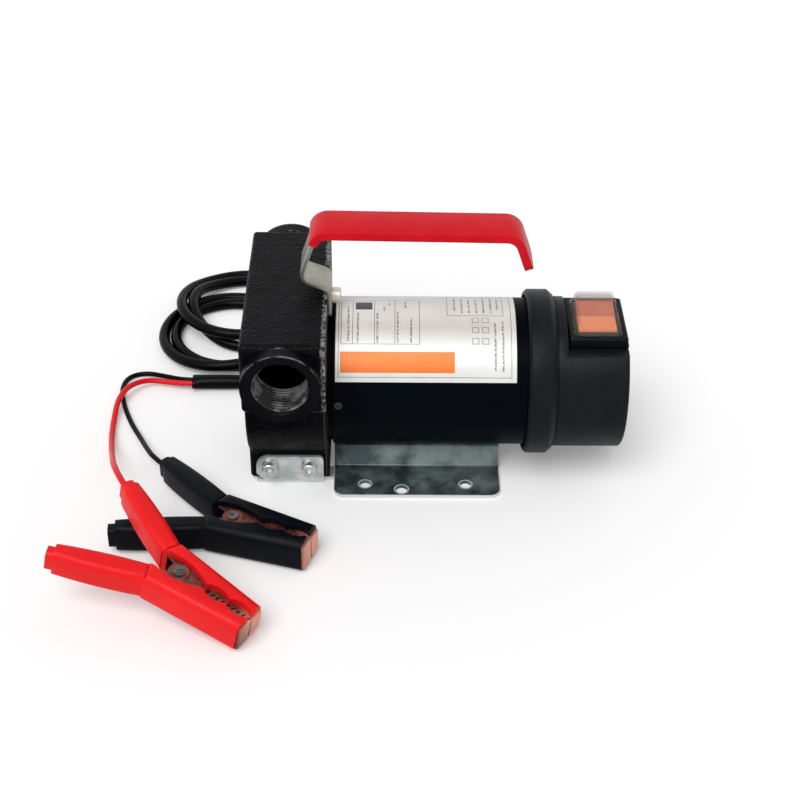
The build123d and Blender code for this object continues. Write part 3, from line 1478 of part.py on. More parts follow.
def bend_radii(route):
    """Radius at each inner corner: 0.45 of its shorter run over the tangent of half its turn."""
    corners = [Vector(*spot) for spot in route]
    radii = []
    for before, corner, after in zip(corners, corners[1:], corners[2:]):
        run_in, run_out = corner - before, after - corner
        turn = radians(run_in.get_angle(run_out))
        radii.append(0.45 * min(run_in.length, run_out.length) / tan(turn / 2))
    return radii


def cord(route, radius, name):
    """Tube of straight runs and tangent arcs along a route, written as one node."""
    radii = bend_radii(route)
    with BuildPart() as tube:
        with BuildLine() as path:
            centre = FilletPolyline(*route, radius=radii)
        with BuildSketch(Plane(centre @ 0, z_dir=centre % 0)) as section:
            Circle(radius)
        sweep(section.sketch, path=path.line)
    save(tube, name)
    share = tube.part.volume / (pi * radius**2 * centre.length)
    tightest = [round(bend / (2 * radius), 1) for bend in radii]
    print(f"{name}: {centre.length:.0f} mm, volume share {share:.4f}, bends in diameters {tightest}")


cord(supply_route, cable_radius, "supply_cable")
cord(tail_route, cable_radius, "cable_tail")
cord(red_route, red_wire_radius, "red_wire")
cord(black_route, black_wire_radius, "black_wire")

with BuildPart() as cable_coil:
    with BuildSketch(Plane.XY):
        with Locations(coil_lower_centre, coil_upper_centre):
            Circle(coil_outer_radius)
        make_hull()
        with Locations(coil_lower_centre, coil_upper_centre):
            Circle(coil_inner_radius, mode=Mode.SUBTRACT)
    extrude(amount=coil_height)
save(cable_coil, "cable_coil")

with BuildPart() as cable_sleeve:
    sleeve_plane = Plane((sleeve_ends[0], sleeve_y, sleeve_radius), x_dir=(0, 1, 0), z_dir=(1, 0, 0))
    sleeve_length = sleeve_ends[1] - sleeve_ends[0]
    with BuildSketch(sleeve_plane):
        Circle(sleeve_radius)
    extrude(amount=sleeve_length)
    with BuildSketch(sleeve_plane.offset(sleeve_length)):
        Circle(cable_radius + close_fit)
    extrude(amount=-sleeve_cable_grip, mode=Mode.SUBTRACT)
    with BuildSketch(sleeve_plane):
        with Locations((-wire_spread, 0)):
            Circle(red_wire_radius + close_fit)
        with Locations((wire_spread, 0)):
            Circle(black_wire_radius + close_fit)
    extrude(amount=sleeve_wire_grip, mode=Mode.SUBTRACT)
save(cable_sleeve, "cable_sleeve")
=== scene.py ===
import json
import math
import bpy
from mathutils import Matrix, Vector

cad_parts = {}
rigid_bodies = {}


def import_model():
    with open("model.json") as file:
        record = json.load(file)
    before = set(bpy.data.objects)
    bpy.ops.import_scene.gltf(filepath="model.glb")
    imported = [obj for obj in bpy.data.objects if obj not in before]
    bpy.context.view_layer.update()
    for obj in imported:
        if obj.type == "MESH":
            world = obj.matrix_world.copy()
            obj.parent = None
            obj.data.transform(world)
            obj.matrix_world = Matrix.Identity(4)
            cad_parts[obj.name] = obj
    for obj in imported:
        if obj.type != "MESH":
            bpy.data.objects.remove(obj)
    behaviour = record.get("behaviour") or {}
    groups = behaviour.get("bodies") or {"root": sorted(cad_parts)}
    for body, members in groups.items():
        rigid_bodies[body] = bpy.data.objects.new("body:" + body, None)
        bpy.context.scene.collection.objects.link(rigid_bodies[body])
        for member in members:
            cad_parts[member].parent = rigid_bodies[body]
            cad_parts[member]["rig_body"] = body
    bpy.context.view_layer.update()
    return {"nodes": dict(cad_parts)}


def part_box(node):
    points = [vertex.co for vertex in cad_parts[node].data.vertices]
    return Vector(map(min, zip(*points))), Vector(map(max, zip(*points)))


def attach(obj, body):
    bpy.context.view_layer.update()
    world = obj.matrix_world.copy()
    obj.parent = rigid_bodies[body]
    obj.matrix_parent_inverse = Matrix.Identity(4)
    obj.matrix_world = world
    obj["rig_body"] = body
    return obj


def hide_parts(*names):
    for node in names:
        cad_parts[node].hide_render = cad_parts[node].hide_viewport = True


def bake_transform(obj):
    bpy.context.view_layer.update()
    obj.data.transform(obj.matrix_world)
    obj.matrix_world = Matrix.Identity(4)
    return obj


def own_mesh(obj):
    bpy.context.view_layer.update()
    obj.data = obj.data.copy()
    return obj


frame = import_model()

# Fluid transfer pump, dressed for its studio picture. Metres, in the CAD frame.
nodes = frame["nodes"]
canLow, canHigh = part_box("motor_can")
axisHeight = (canLow.z + canHigh.z) / 2
canRadius = canHigh.z - axisHeight
port = {"x": -0.0721, "z": 0.0895, "mouthY": 0.0676}  # the two ports mirror each other in Y
print("frame loaded:", len(nodes), "nodes")


# Helpers for objects.

def selectOnly(piece):
    bpy.ops.object.select_all(action="DESELECT")
    piece.select_set(True)
    bpy.context.view_layer.objects.active = piece


def applyPlace(piece):
    selectOnly(piece)
    bpy.ops.object.transform_apply(location=True, rotation=True, scale=True)


def applyModifiers(piece):
    selectOnly(piece)
    for modifier in list(piece.modifiers):
        bpy.ops.object.modifier_apply(modifier=modifier.name)


def smoothBelow(degrees):  # shades the selected piece smooth, except where its faces turn by more
    bpy.ops.object.shade_smooth_by_angle(angle=math.radians(degrees))


def addObject(name, data):
    piece = bpy.data.objects.new(name, data)
    bpy.context.scene.collection.objects.link(piece)
    return piece


# Helpers for shader nodes. A value may be a number, a tuple or another node's socket.

def isSocket(value):
    return isinstance(value, bpy.types.NodeSocket)


def put(tree, kind, sockets=None, **settings):
    node = tree.nodes.new(kind)
    for name, value in settings.items():
        setattr(node, name, value)
    for name, value in (sockets or {}).items():
        if isSocket(value):
            tree.links.new(value, node.inputs[name])
        else:
            node.inputs[name].default_value = value
    return node


def mathNode(tree, operation, first, second=0.0, third=0.0, clamp=False):
    node = put(tree, "ShaderNodeMath", {0: first, 1: second, 2: third}, operation=operation, use_clamp=clamp)
    return node.outputs[0]


def chain(tree, operation, *values):
    result = values[0]
    for value in values[1:]:
        result = mathNode(tree, operation, result, value)
    return result


def vectorNode(tree, operation, first, second=(0.0, 0.0, 0.0)):
    return put(tree, "ShaderNodeVectorMath", {0: first, 1: second}, operation=operation).outputs[0]


def lengthNode(tree, across, along):
    flat = put(tree, "ShaderNodeCombineXYZ", {0: across, 1: along}).outputs[0]
    return put(tree, "ShaderNodeVectorMath", {0: flat}, operation="LENGTH").outputs["Value"]


def spreadNode(tree, value, start=(0.0, 1.0), end=(0.0, 1.0)):
    return put(tree, "ShaderNodeMapRange", {
        "Value": value, "From Min": start[0], "From Max": start[1], "To Min": end[0], "To Max": end[1]}).outputs[0]


def mixColour(tree, factor, *colours):
    first, second = [colour if isSocket(colour) else (*colour, 1.0) for colour in colours]
    return put(tree, "ShaderNodeMix", {0: factor, 6: first, 7: second}, data_type="RGBA").outputs[2]


def objectPlace(tree):
    return put(tree, "ShaderNodeTexCoord").outputs["Object"]


def objectAxes(tree):
    return put(tree, "ShaderNodeSeparateXYZ", {0: objectPlace(tree)}).outputs


def useGroup(tree, group, values):
    return put(tree, "ShaderNodeGroup", values, node_tree=group)


def newGroup(name, inputs, output, outputKind):
    group = bpy.data.node_groups.new(name, "ShaderNodeTree")
    for label, kind, value in inputs:
        socket = group.interface.new_socket(name=label, in_out="INPUT", socket_type=kind)
        socket.default_value = value
    group.interface.new_socket(name=output, in_out="OUTPUT", socket_type=outputKind)
    given = group.nodes.new("NodeGroupInput").outputs
    end = group.nodes.new("NodeGroupOutput").inputs[output]
    return group, given, end


# Shared surface effects.
floatKind, vectorKind = "NodeSocketFloat", "NodeSocketVector"


def makeSurfaceGrain():  # fine texture, stretched where the surface was drawn or brushed
    settings = {"noise": {"Detail": 4.0, "Roughness": 0.6}, "strength": 0.7}
    inputs = [("Scale", floatKind, 900.0), ("Depth", floatKind, 0.0001), ("Stretch", vectorKind, (1.0, 1.0, 1.0))]
    group, given, end = newGroup("surfaceGrain", inputs, "Normal", vectorKind)
    stretched = vectorNode(group, "MULTIPLY", objectPlace(group), given["Stretch"])
    noise = put(group, "ShaderNodeTexNoise", {"Vector": stretched, "Scale": given["Scale"], **settings["noise"]})
    bump = put(group, "ShaderNodeBump", {
        "Height": noise.outputs[0], "Distance": given["Depth"], "Strength": settings["strength"]})
    group.links.new(bump.outputs["Normal"], end)
    return group


def makeMottle():  # slow change between two values
    settings = {"noise": {"Detail": 3.0, "Roughness": 0.55}, "noiseSpan": (0.32, 0.68)}
    inputs = [("Scale", floatKind, 60.0), ("Low", floatKind, 0.0), ("High", floatKind, 1.0)]
    group, given, end = newGroup("mottle", inputs, "Value", floatKind)
    noise = put(group, "ShaderNodeTexNoise", {
        "Vector": objectPlace(group), "Scale": given["Scale"], **settings["noise"]})
    spread = spreadNode(group, noise.outputs[0], settings["noiseSpan"], (given["Low"], given["High"]))
    group.links.new(spread, end)
    return group


def warped(tree, place, scale, distance):  # bends a pattern's straight cells
    noise = put(tree, "ShaderNodeTexNoise", {"Vector": place, "Scale": scale, "Detail": 2.0})
    push = put(tree, "ShaderNodeVectorMath", {0: noise.outputs["Color"], "Scale": distance}, operation="SCALE")
    return vectorNode(tree, "ADD", place, push.outputs[0])


def makeCrinkle():  # wrinkle-finish paint: small rounded ridges that run into each other
    settings = {"warpScale": 260.0, "warpDistance": 0.004, "smoothness": 0.7, "strength": 0.8}
    inputs = [("Scale", floatKind, 620.0), ("Depth", floatKind, 0.0004)]
    group, given, end = newGroup("crinkle", inputs, "Normal", vectorKind)
    moved = warped(group, objectPlace(group), settings["warpScale"], settings["warpDistance"])
    cells = put(group, "ShaderNodeTexVoronoi", {
        "Vector": moved, "Scale": given["Scale"], "Smoothness": settings["smoothness"]}, feature="SMOOTH_F1")
    bump = put(group, "ShaderNodeBump", {
        "Height": cells.outputs["Distance"], "Distance": given["Depth"], "Strength": settings["strength"]}, invert=True)
    group.links.new(bump.outputs["Normal"], end)
    return group


def makeBoxWearAndHighlight():  # chipped places and painted highlights along the edges of a block
    settings = {"detail": 5.0, "hardness": 14.0}
    inputs = [
        ("Centre", vectorKind, (0.0, 0.0, 0.0)), ("Half", vectorKind, (1.0, 1.0, 1.0)),
        ("Width", floatKind, 0.002), ("Scale", floatKind, 700.0), ("Threshold", floatKind, 0.6)]
    group, given, end = newGroup("boxWearAndHighlight", inputs, "Mask", floatKind)
    place = objectPlace(group)
    folded = vectorNode(group, "ABSOLUTE", vectorNode(group, "SUBTRACT", place, given["Centre"]))
    inset = vectorNode(group, "SUBTRACT", folded, given["Half"])
    axes = put(group, "ShaderNodeSeparateXYZ", {0: inset}).outputs
    lower = mathNode(group, "MINIMUM", axes[0], axes[1])
    upper = mathNode(group, "MAXIMUM", axes[0], axes[1])
    middle = mathNode(group, "MAXIMUM", lower, mathNode(group, "MINIMUM", upper, axes[2]))
    near = mathNode(group, "ADD", mathNode(group, "DIVIDE", middle, given["Width"]), 1.0, clamp=True)
    noise = put(group, "ShaderNodeTexNoise", {
        "Vector": place, "Scale": given["Scale"], "Detail": settings["detail"]})
    chips = mathNode(group, "SUBTRACT", mathNode(group, "MULTIPLY", noise.outputs[0], near), given["Threshold"])
    group.links.new(mathNode(group, "MULTIPLY", chips, settings["hardness"], clamp=True), end)
    return group


def makeSpangle():  # zinc crystals of hot-dip galvanising
    settings = {"warpScale": 90.0, "warpDistance": 0.012}
    group, given, end = newGroup("spangle", [("Scale", floatKind, 160.0)], "Tone", floatKind)
    moved = warped(group, objectPlace(group), settings["warpScale"], settings["warpDistance"])
    cells = put(group, "ShaderNodeTexVoronoi", {"Vector": moved, "Scale": given["Scale"]})
    tone = put(group, "ShaderNodeSeparateColor", {0: cells.outputs["Color"]}).outputs[0]
    group.links.new(tone, end)
    return group


grainGroup = makeSurfaceGrain()
mottleGroup = makeMottle()
crinkleGroup = makeCrinkle()
wearAndHighlightGroup = makeBoxWearAndHighlight()
spangleGroup = makeSpangle()
print("shader groups made")


# Finishes. Each maker adds its material to this table.
finishes = {}


def newFinish(name, colour, roughness, metallic=0.0, specular=0.5):
    material = bpy.data.materials.new(name)
    material.use_nodes = True
    shader = material.node_tree.nodes["Principled BSDF"]
    shader.inputs["Base Color"].default_value = (*colour, 1.0)
    shader.inputs["Roughness"].default_value = roughness
    shader.inputs["Metallic"].default_value = metallic
    shader.inputs["Specular IOR Level"].default_value = specular
    finishes[name] = material
    return material.node_tree, shader


def mottled(tree, scale, low=0.0, high=1.0):
    return useGroup(tree, mottleGroup, {"Scale": scale, "Low": low, "High": high}).outputs[0]


def colourBy(tree, shader, factor, *colours):
    tree.links.new(mixColour(tree, factor, *colours), shader.inputs["Base Color"])


def addGloss(tree, shader, scale, span):
    tree.links.new(mottled(tree, scale, *span), shader.inputs["Roughness"])


def addGrain(tree, shader, scale, depth, stretch=(1.0, 1.0, 1.0)):
    grain = useGroup(tree, grainGroup, {"Scale": scale, "Depth": depth, "Stretch": stretch})
    tree.links.new(grain.outputs["Normal"], shader.inputs["Normal"])


def makeTwoTone(name, look):  # the common finish: two tones, uneven gloss and a fine grain
    tree, shader = newFinish(
        name, look["tones"][0], look["gloss"][0], look.get("metallic", 0.0), look.get("specular", 0.5))
    patch = look.get("patch", 70.0)
    glossPerPatch = 2.7
    colourBy(tree, shader, mottled(tree, patch), *look["tones"])
    addGloss(tree, shader, patch * glossPerPatch, look["gloss"])
    addGrain(tree, shader, *look["grain"])
    if "coat" in look:
        shader.inputs["Coat Weight"].default_value = look["coat"]
        shader.inputs["Coat Roughness"].default_value = 0.1


simpleLooks = {  # grain: scale, depth and, where it is drawn out, its stretch
    "gasketPaper": {"tones": ((0.06, 0.055, 0.048), (0.11, 0.1, 0.085)), "gloss": (0.8, 0.92), "grain": (1500, 0.0002)},
    "motorPaint": {
        "tones": ((0.0006, 0.0014, 0.0034), (0.001, 0.0022, 0.005)), "gloss": (0.34, 0.42), "specular": 0.025,
        "grain": (420, 0.00006), "patch": 30.0},
    "capPlastic": {
        "tones": ((0.0036, 0.0052, 0.0074), (0.0062, 0.0084, 0.011)), "gloss": (0.36, 0.46), "specular": 0.11,
        "grain": (2600, 0.00007)},
    "bezelPlastic": {
        "tones": ((0.0012, 0.0016, 0.0026), (0.0024, 0.003, 0.0044)), "gloss": (0.28, 0.36), "specular": 0.08,
        "grain": (2200, 0.00005)},
    "strapZinc": {
        "tones": ((0.27, 0.27, 0.22), (0.4, 0.4, 0.34)), "gloss": (0.3, 0.44), "metallic": 0.8,
        "grain": (700, 0.00004, (1.0, 4.0, 1.0))},
    "gripVinyl": {
        "tones": ((0.6, 0.004, 0.012), (0.68, 0.006, 0.016)), "gloss": (0.3, 0.4), "specular": 0.09,
        "grain": (900, 0.00002)},
    "screwZinc": {
        "tones": ((0.5, 0.51, 0.5), (0.78, 0.78, 0.74)), "gloss": (0.22, 0.4), "metallic": 0.85,
        "grain": (1800, 0.00004), "patch": 300.0},
    "creamZinc": {
        "tones": ((0.6, 0.58, 0.5), (0.78, 0.76, 0.68)), "gloss": (0.36, 0.5), "metallic": 0.3,
        "grain": (1500, 0.00004), "patch": 300.0},
    "rivetSteel": {
        "tones": ((0.07, 0.06, 0.055), (0.17, 0.15, 0.14)), "gloss": (0.24, 0.4), "metallic": 0.8,
        "grain": (1500, 0.00005), "patch": 260.0},
    "screwBlack": {
        "tones": ((0.02, 0.02, 0.022), (0.045, 0.045, 0.048)), "gloss": (0.35, 0.5), "metallic": 0.5,
        "grain": (1800, 0.00004), "patch": 300.0},
    "bellAluminium": {
        "tones": ((0.42, 0.43, 0.44), (0.58, 0.59, 0.6)), "gloss": (0.42, 0.6), "metallic": 0.8,
        "grain": (1100, 0.0002)},
    "machinedSteel": {
        "tones": ((0.42, 0.42, 0.43), (0.6, 0.6, 0.61)), "gloss": (0.22, 0.36), "metallic": 0.95,
        "grain": (900, 0.00004, (6.0, 1.0, 1.0))},
    "bearingSteel": {
        "tones": ((0.5, 0.51, 0.53), (0.66, 0.67, 0.69)), "gloss": (0.14, 0.24), "metallic": 1.0,
        "grain": (1500, 0.00002)},
    "laminations": {
        "tones": ((0.16, 0.14, 0.12), (0.3, 0.28, 0.25)), "gloss": (0.35, 0.55), "metallic": 0.7,
        "grain": (260, 0.0002, (9.0, 0.3, 0.3))},
    "enamelledWire": {
        "tones": ((0.4, 0.12, 0.035), (0.62, 0.22, 0.07)), "gloss": (0.2, 0.36), "metallic": 0.8,
        "grain": (420, 0.0005, (0.4, 2.0, 2.0)), "coat": 0.4},
    "ferrite": {"tones": ((0.045, 0.045, 0.047), (0.085, 0.085, 0.087)), "gloss": (0.65, 0.8), "grain": (1300, 0.0001)},
    "carbon": {"tones": ((0.025, 0.025, 0.027), (0.05, 0.05, 0.052)), "gloss": (0.45, 0.6), "grain": (2100, 0.00008)},
    "brass": {
        "tones": ((0.52, 0.33, 0.1), (0.66, 0.45, 0.16)), "gloss": (0.24, 0.4), "metallic": 0.95,
        "grain": (900, 0.00004)},
    "vanePlastic": {"tones": ((0.66, 0.64, 0.56), (0.75, 0.73, 0.65)), "gloss": (0.4, 0.52), "grain": (1300, 0.00004)},
    "sealRubber": {
        "tones": ((0.003, 0.003, 0.004), (0.006, 0.006, 0.007)), "gloss": (0.5, 0.62), "specular": 0.1,
        "grain": (1800, 0.00008)},
    "springSteel": {
        "tones": ((0.4, 0.4, 0.41), (0.55, 0.55, 0.56)), "gloss": (0.22, 0.34), "metallic": 0.95,
        "grain": (1600, 0.00003)},
    "cableJacket": {
        "tones": ((0.0008, 0.001, 0.0016), (0.0018, 0.002, 0.003)), "gloss": (0.2, 0.28), "specular": 0.08,
        "grain": (900, 0.00006)},
    "redJacket": {
        "tones": ((0.74, 0.006, 0.012), (0.82, 0.01, 0.016)), "gloss": (0.3, 0.4), "specular": 0.22,
        "grain": (1000, 0.00004)},
    "redCover": {
        "tones": ((0.82, 0.006, 0.008), (0.9, 0.012, 0.014)), "gloss": (0.34, 0.46), "specular": 0.2,
        "grain": (520, 0.0002), "patch": 45.0},
    "blackCover": {
        "tones": ((0.0014, 0.0026, 0.0046), (0.0032, 0.005, 0.0078)), "gloss": (0.34, 0.44), "specular": 0.08,
        "grain": (520, 0.0002), "patch": 45.0},
}


def headChipsAndHighlights(tree, settings):  # bright specks along the edges of the head's block, off its two bosses: chipped paint and painted edge highlights
    low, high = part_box("pump_head")
    centre = Vector(((low.x + high.x) / 2, 0.0, high.z - settings["blockHeight"] / 2))
    half = Vector(((high.x - low.x) / 2, high.y - settings["bossReach"], settings["blockHeight"] / 2))
    wearAndHighlight = useGroup(tree, wearAndHighlightGroup, {"Centre": centre, "Half": half, **settings["wearAndHighlight"]})
    axes = objectAxes(tree)
    onBlock = mathNode(tree, "GREATER_THAN", axes[2], centre.z - half.z - settings["blockMargin"])
    offBoss = mathNode(tree, "LESS_THAN", mathNode(tree, "ABSOLUTE", axes[1]), half.y + settings["bossMargin"])
    return chain(tree, "MULTIPLY", wearAndHighlight.outputs[0], onBlock, offBoss)


def headRimHighlights(tree, settings):  # painted highlight round the upper half of each port's mouth rim
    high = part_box("pump_head")[1]
    axes = objectAxes(tree)
    fromPort = lengthNode(
        tree, mathNode(tree, "SUBTRACT", axes[0], port["x"]), mathNode(tree, "SUBTRACT", axes[2], port["z"]))
    atRim = mathNode(tree, "GREATER_THAN", fromPort, high.z - port["z"] - settings["rimWidth"])
    atMouth = mathNode(tree, "GREATER_THAN", mathNode(tree, "ABSOLUTE", axes[1]), high.y - settings["rimWidth"])
    start, end = [port["z"] + rise for rise in settings["rimRise"]]
    atTop = spreadNode(tree, axes[2], (start, end), (0.0, settings["rimStrength"]))
    return chain(tree, "MULTIPLY", atRim, atMouth, mottled(tree, *settings["rimPatches"]), atTop)


def makeHeadPaint(name, chippedAndHighlighted):  # black wrinkle paint
    settings = {
        "tones": ((0.0014, 0.0014, 0.0022), (0.0042, 0.0044, 0.006)), "toneScale": 55.0, "bareMetalAndHighlight": (0.2, 0.22, 0.22),
        "gloss": (0.3, 0.46), "glossScale": 160.0, "specular": 0.05, "wrinkles": {"Scale": 620.0, "Depth": 0.0004},
        "wearAndHighlight": {"Width": 0.0028, "Scale": 640.0, "Threshold": 0.425},
        "blockHeight": 0.043, "blockMargin": 0.0005, "bossReach": 0.0076, "bossMargin": 0.0003,
        "rimWidth": 0.0008, "rimRise": (0.004, 0.016), "rimStrength": 0.6, "rimPatches": (150.0, -0.2, 1.5)}
    tree, shader = newFinish(name, settings["tones"][0], settings["gloss"][0], specular=settings["specular"])
    paint = mixColour(tree, mottled(tree, settings["toneScale"]), *settings["tones"])
    if chippedAndHighlighted:
        # bare metal where the paint is chipped, and painted highlights on the block's edges and port rims
        wornAndLit = mathNode(tree, "MAXIMUM", headChipsAndHighlights(tree, settings), headRimHighlights(tree, settings))
        paint = mixColour(tree, wornAndLit, paint, settings["bareMetalAndHighlight"])
    tree.links.new(paint, shader.inputs["Base Color"])
    addGloss(tree, shader, settings["glossScale"], settings["gloss"])
    wrinkles = useGroup(tree, crinkleGroup, settings["wrinkles"])
    tree.links.new(wrinkles.outputs["Normal"], shader.inputs["Normal"])


def makePlatePaint():  # the motor plate is black, with its front and top edges rubbed bare
    settings = {
        "tones": ((0.002, 0.0022, 0.003), (0.005, 0.0055, 0.0065)), "toneScale": 60.0, "bare": (0.34, 0.35, 0.34),
        "edgeWidth": 0.0005, "patches": (420.0, -0.4, 1.2), "gloss": (0.36, 0.5), "glossScale": 200.0,
        "specular": 0.1, "grain": (900.0, 0.00004)}
    tree, shader = newFinish("platePaint", settings["tones"][0], roughness=0.4, specular=settings["specular"])
    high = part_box("motor_plate")[1]
    axes = objectAxes(tree)
    paint = mixColour(tree, mottled(tree, settings["toneScale"]), *settings["tones"])
    nearSide = mathNode(tree, "GREATER_THAN", mathNode(tree, "ABSOLUTE", axes[1]), high.y - settings["edgeWidth"])
    nearTop = mathNode(tree, "GREATER_THAN", axes[2], high.z - settings["edgeWidth"])
    nearEdge = mathNode(tree, "MAXIMUM", nearSide, nearTop)
    bare = mathNode(tree, "MULTIPLY", nearEdge, mottled(tree, *settings["patches"]))
    colourBy(tree, shader, bare, paint, settings["bare"])
    addGloss(tree, shader, settings["glossScale"], settings["gloss"])
    addGrain(tree, shader, *settings["grain"])


def makeCutThread():  # thread cut in the casting: bare metal in blotches, black where the paint ran in
    settings = {
        "paint": (0.003, 0.003, 0.004), "bare": (0.17, 0.17, 0.175), "blotches": (85.0, -1.3, 1.9), "metallic": 0.25,
        "gloss": (0.3, 0.5), "glossScale": 300.0, "grain": (1500.0, 0.00006)}
    tree, shader = newFinish("cutThread", settings["paint"], roughness=0.4, metallic=settings["metallic"])
    colourBy(tree, shader, mottled(tree, *settings["blotches"]), settings["paint"], settings["bare"])
    addGloss(tree, shader, settings["glossScale"], settings["gloss"])
    addGrain(tree, shader, *settings["grain"])


def makeGalvanised():  # spangled zinc: bright on the ears, darker and cloudy in painted shade under the motor, pale on its cut edges
    settings = {
        "ears": ((0.5, 0.55, 0.55), (0.88, 0.93, 0.92)), "shadedTray": ((0.045, 0.068, 0.072), (0.2, 0.25, 0.25)),
        "cutEdge": (0.78, 0.8, 0.79), "edgeWidth": 0.0004, "sheet": 0.0021, "rimDepth": 0.0004, "corner": 0.006,
        "rimWidth": 0.00045, "trayStart": -0.0462, "earFade": 0.002,
        # place along X, distance to either side of the middle, and radius
        "holes": ((-0.0285, 0.03725, 0.00325), (0.0285, 0.03725, 0.00325), (-0.0078, 0.0418, 0.0035)),
        "spangleScale": 170.0, "cloudScale": 95.0, "broadScale": 34.0, "cloudSpan": (-0.7, 1.7),
        "shares": {"spangle": 0.15, "cloud": 0.45, "broad": 0.4},
        "rough": (0.3, 0.46), "metallic": 0.45, "grain": (700.0, 0.00006)}
    tree, shader = newFinish("galvanised", settings["shadedTray"][0], roughness=0.45, metallic=settings["metallic"])
    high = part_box("base_bracket")[1]
    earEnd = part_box("motor_plate")[0].x
    axes = objectAxes(tree)
    spangle = useGroup(tree, spangleGroup, {"Scale": settings["spangleScale"]}).outputs["Tone"]
    cloud = mottled(tree, settings["cloudScale"], *settings["cloudSpan"])
    broad = mottled(tree, settings["broadScale"], *settings["cloudSpan"])
    shares = settings["shares"]
    clouds = mathNode(tree, "MULTIPLY_ADD", cloud, shares["cloud"], mathNode(tree, "MULTIPLY", broad, shares["broad"]))
    blended = mathNode(tree, "MULTIPLY_ADD", spangle, shares["spangle"], clouds)
    ears = mixColour(tree, blended, *settings["ears"])
    shadedTray = mixColour(tree, blended, *settings["shadedTray"])
    # painted shade: under the motor the zinc takes the darker tray tones
    shadeUnderMotor = spreadNode(tree, axes[0], (earEnd - settings["earFade"], earEnd + settings["earFade"]))
    zincWithShade = mixColour(tree, shadeUnderMotor, ears, shadedTray)
    trayMiddle, trayHalf = (high.x + settings["trayStart"]) / 2, (high.x - settings["trayStart"]) / 2
    corner = settings["corner"]

    def beyond(value, limit):
        return mathNode(tree, "MAXIMUM", mathNode(tree, "SUBTRACT", value, limit), 0.0)

    sideways = mathNode(tree, "ABSOLUTE", axes[1])
    lengthways = mathNode(tree, "ABSOLUTE", mathNode(tree, "SUBTRACT", axes[0], trayMiddle))
    fromCorner = lengthNode(tree, beyond(lengthways, trayHalf - corner), beyond(sideways, high.y - corner))
    nearEdge = mathNode(tree, "GREATER_THAN", fromCorner, corner - settings["edgeWidth"])
    cut = mathNode(tree, "MULTIPLY", nearEdge, mathNode(tree, "LESS_THAN", axes[2], settings["sheet"]))
    nearTop = mathNode(tree, "GREATER_THAN", axes[2], settings["sheet"] - settings["rimDepth"])
    for x, y, radius in settings["holes"]:
        away = lengthNode(tree, mathNode(tree, "SUBTRACT", axes[0], x), mathNode(tree, "SUBTRACT", sideways, y))
        ring = mathNode(tree, "COMPARE", away, radius + settings["rimWidth"], settings["rimWidth"])
        cut = mathNode(tree, "MAXIMUM", cut, mathNode(tree, "MULTIPLY", ring, nearTop))
    colourBy(tree, shader, cut, zincWithShade, settings["cutEdge"])
    tree.links.new(spreadNode(tree, blended, end=settings["rough"]), shader.inputs["Roughness"])
    addGrain(tree, shader, *settings["grain"])


def makeRockerOrange():  # orange nylon, its rear half darker in painted shade
    settings = {
        "front": ((0.95, 0.26, 0.1), (1.0, 0.32, 0.13)), "rear": ((0.56, 0.12, 0.05), (0.66, 0.16, 0.07)),
        "toneScale": 120.0, "fold": 0.0006, "gloss": (0.36, 0.46), "glossScale": 300.0, "specular": 0.2,
        "grain": (1400.0, 0.00002)}
    tree, shader = newFinish("rockerOrange", settings["front"][0], roughness=0.4, specular=settings["specular"])
    # painted shade: the rear half takes the darker tones
    rear = spreadNode(tree, objectAxes(tree)[1], (-settings["fold"], settings["fold"]))
    tone = mottled(tree, settings["toneScale"])
    colourBy(tree, shader, rear, *[mixColour(tree, tone, *settings[half]) for half in ("front", "rear")])
    addGloss(tree, shader, settings["glossScale"], settings["gloss"])
    addGrain(tree, shader, *settings["grain"])


def makeCopperPlate(name, tipX):  # copper plate, darker all over as painted shade inside the covers, brighter towards the tips as rubbed plating and a painted highlight
    settings = {
        "dullAndShaded": (0.12, 0.022, 0.016), "bright": (0.82, 0.38, 0.27), "rubbedAndLit": (0.013, 0.0039), "metallic": 0.7,
        "patches": (210.0, 0.0, 0.2), "gloss": (0.26, 0.46), "glossScale": 420.0,
        "grain": (1300.0, 0.00012, (1.0, 0.4, 1.0))}
    tree, shader = newFinish(name, settings["bright"], roughness=0.35, metallic=settings["metallic"])
    # painted shade and highlight: dark copper away from the tips, bright rubbed and lit copper at the tips
    rubbedAndLit = spreadNode(tree, objectAxes(tree)[0], [tipX - reach for reach in settings["rubbedAndLit"]])
    wornAndLit = mathNode(tree, "MAXIMUM", rubbedAndLit, mottled(tree, *settings["patches"]))
    colourBy(tree, shader, wornAndLit, settings["dullAndShaded"], settings["bright"])
    addGloss(tree, shader, settings["glossScale"], settings["gloss"])
    addGrain(tree, shader, *settings["grain"])


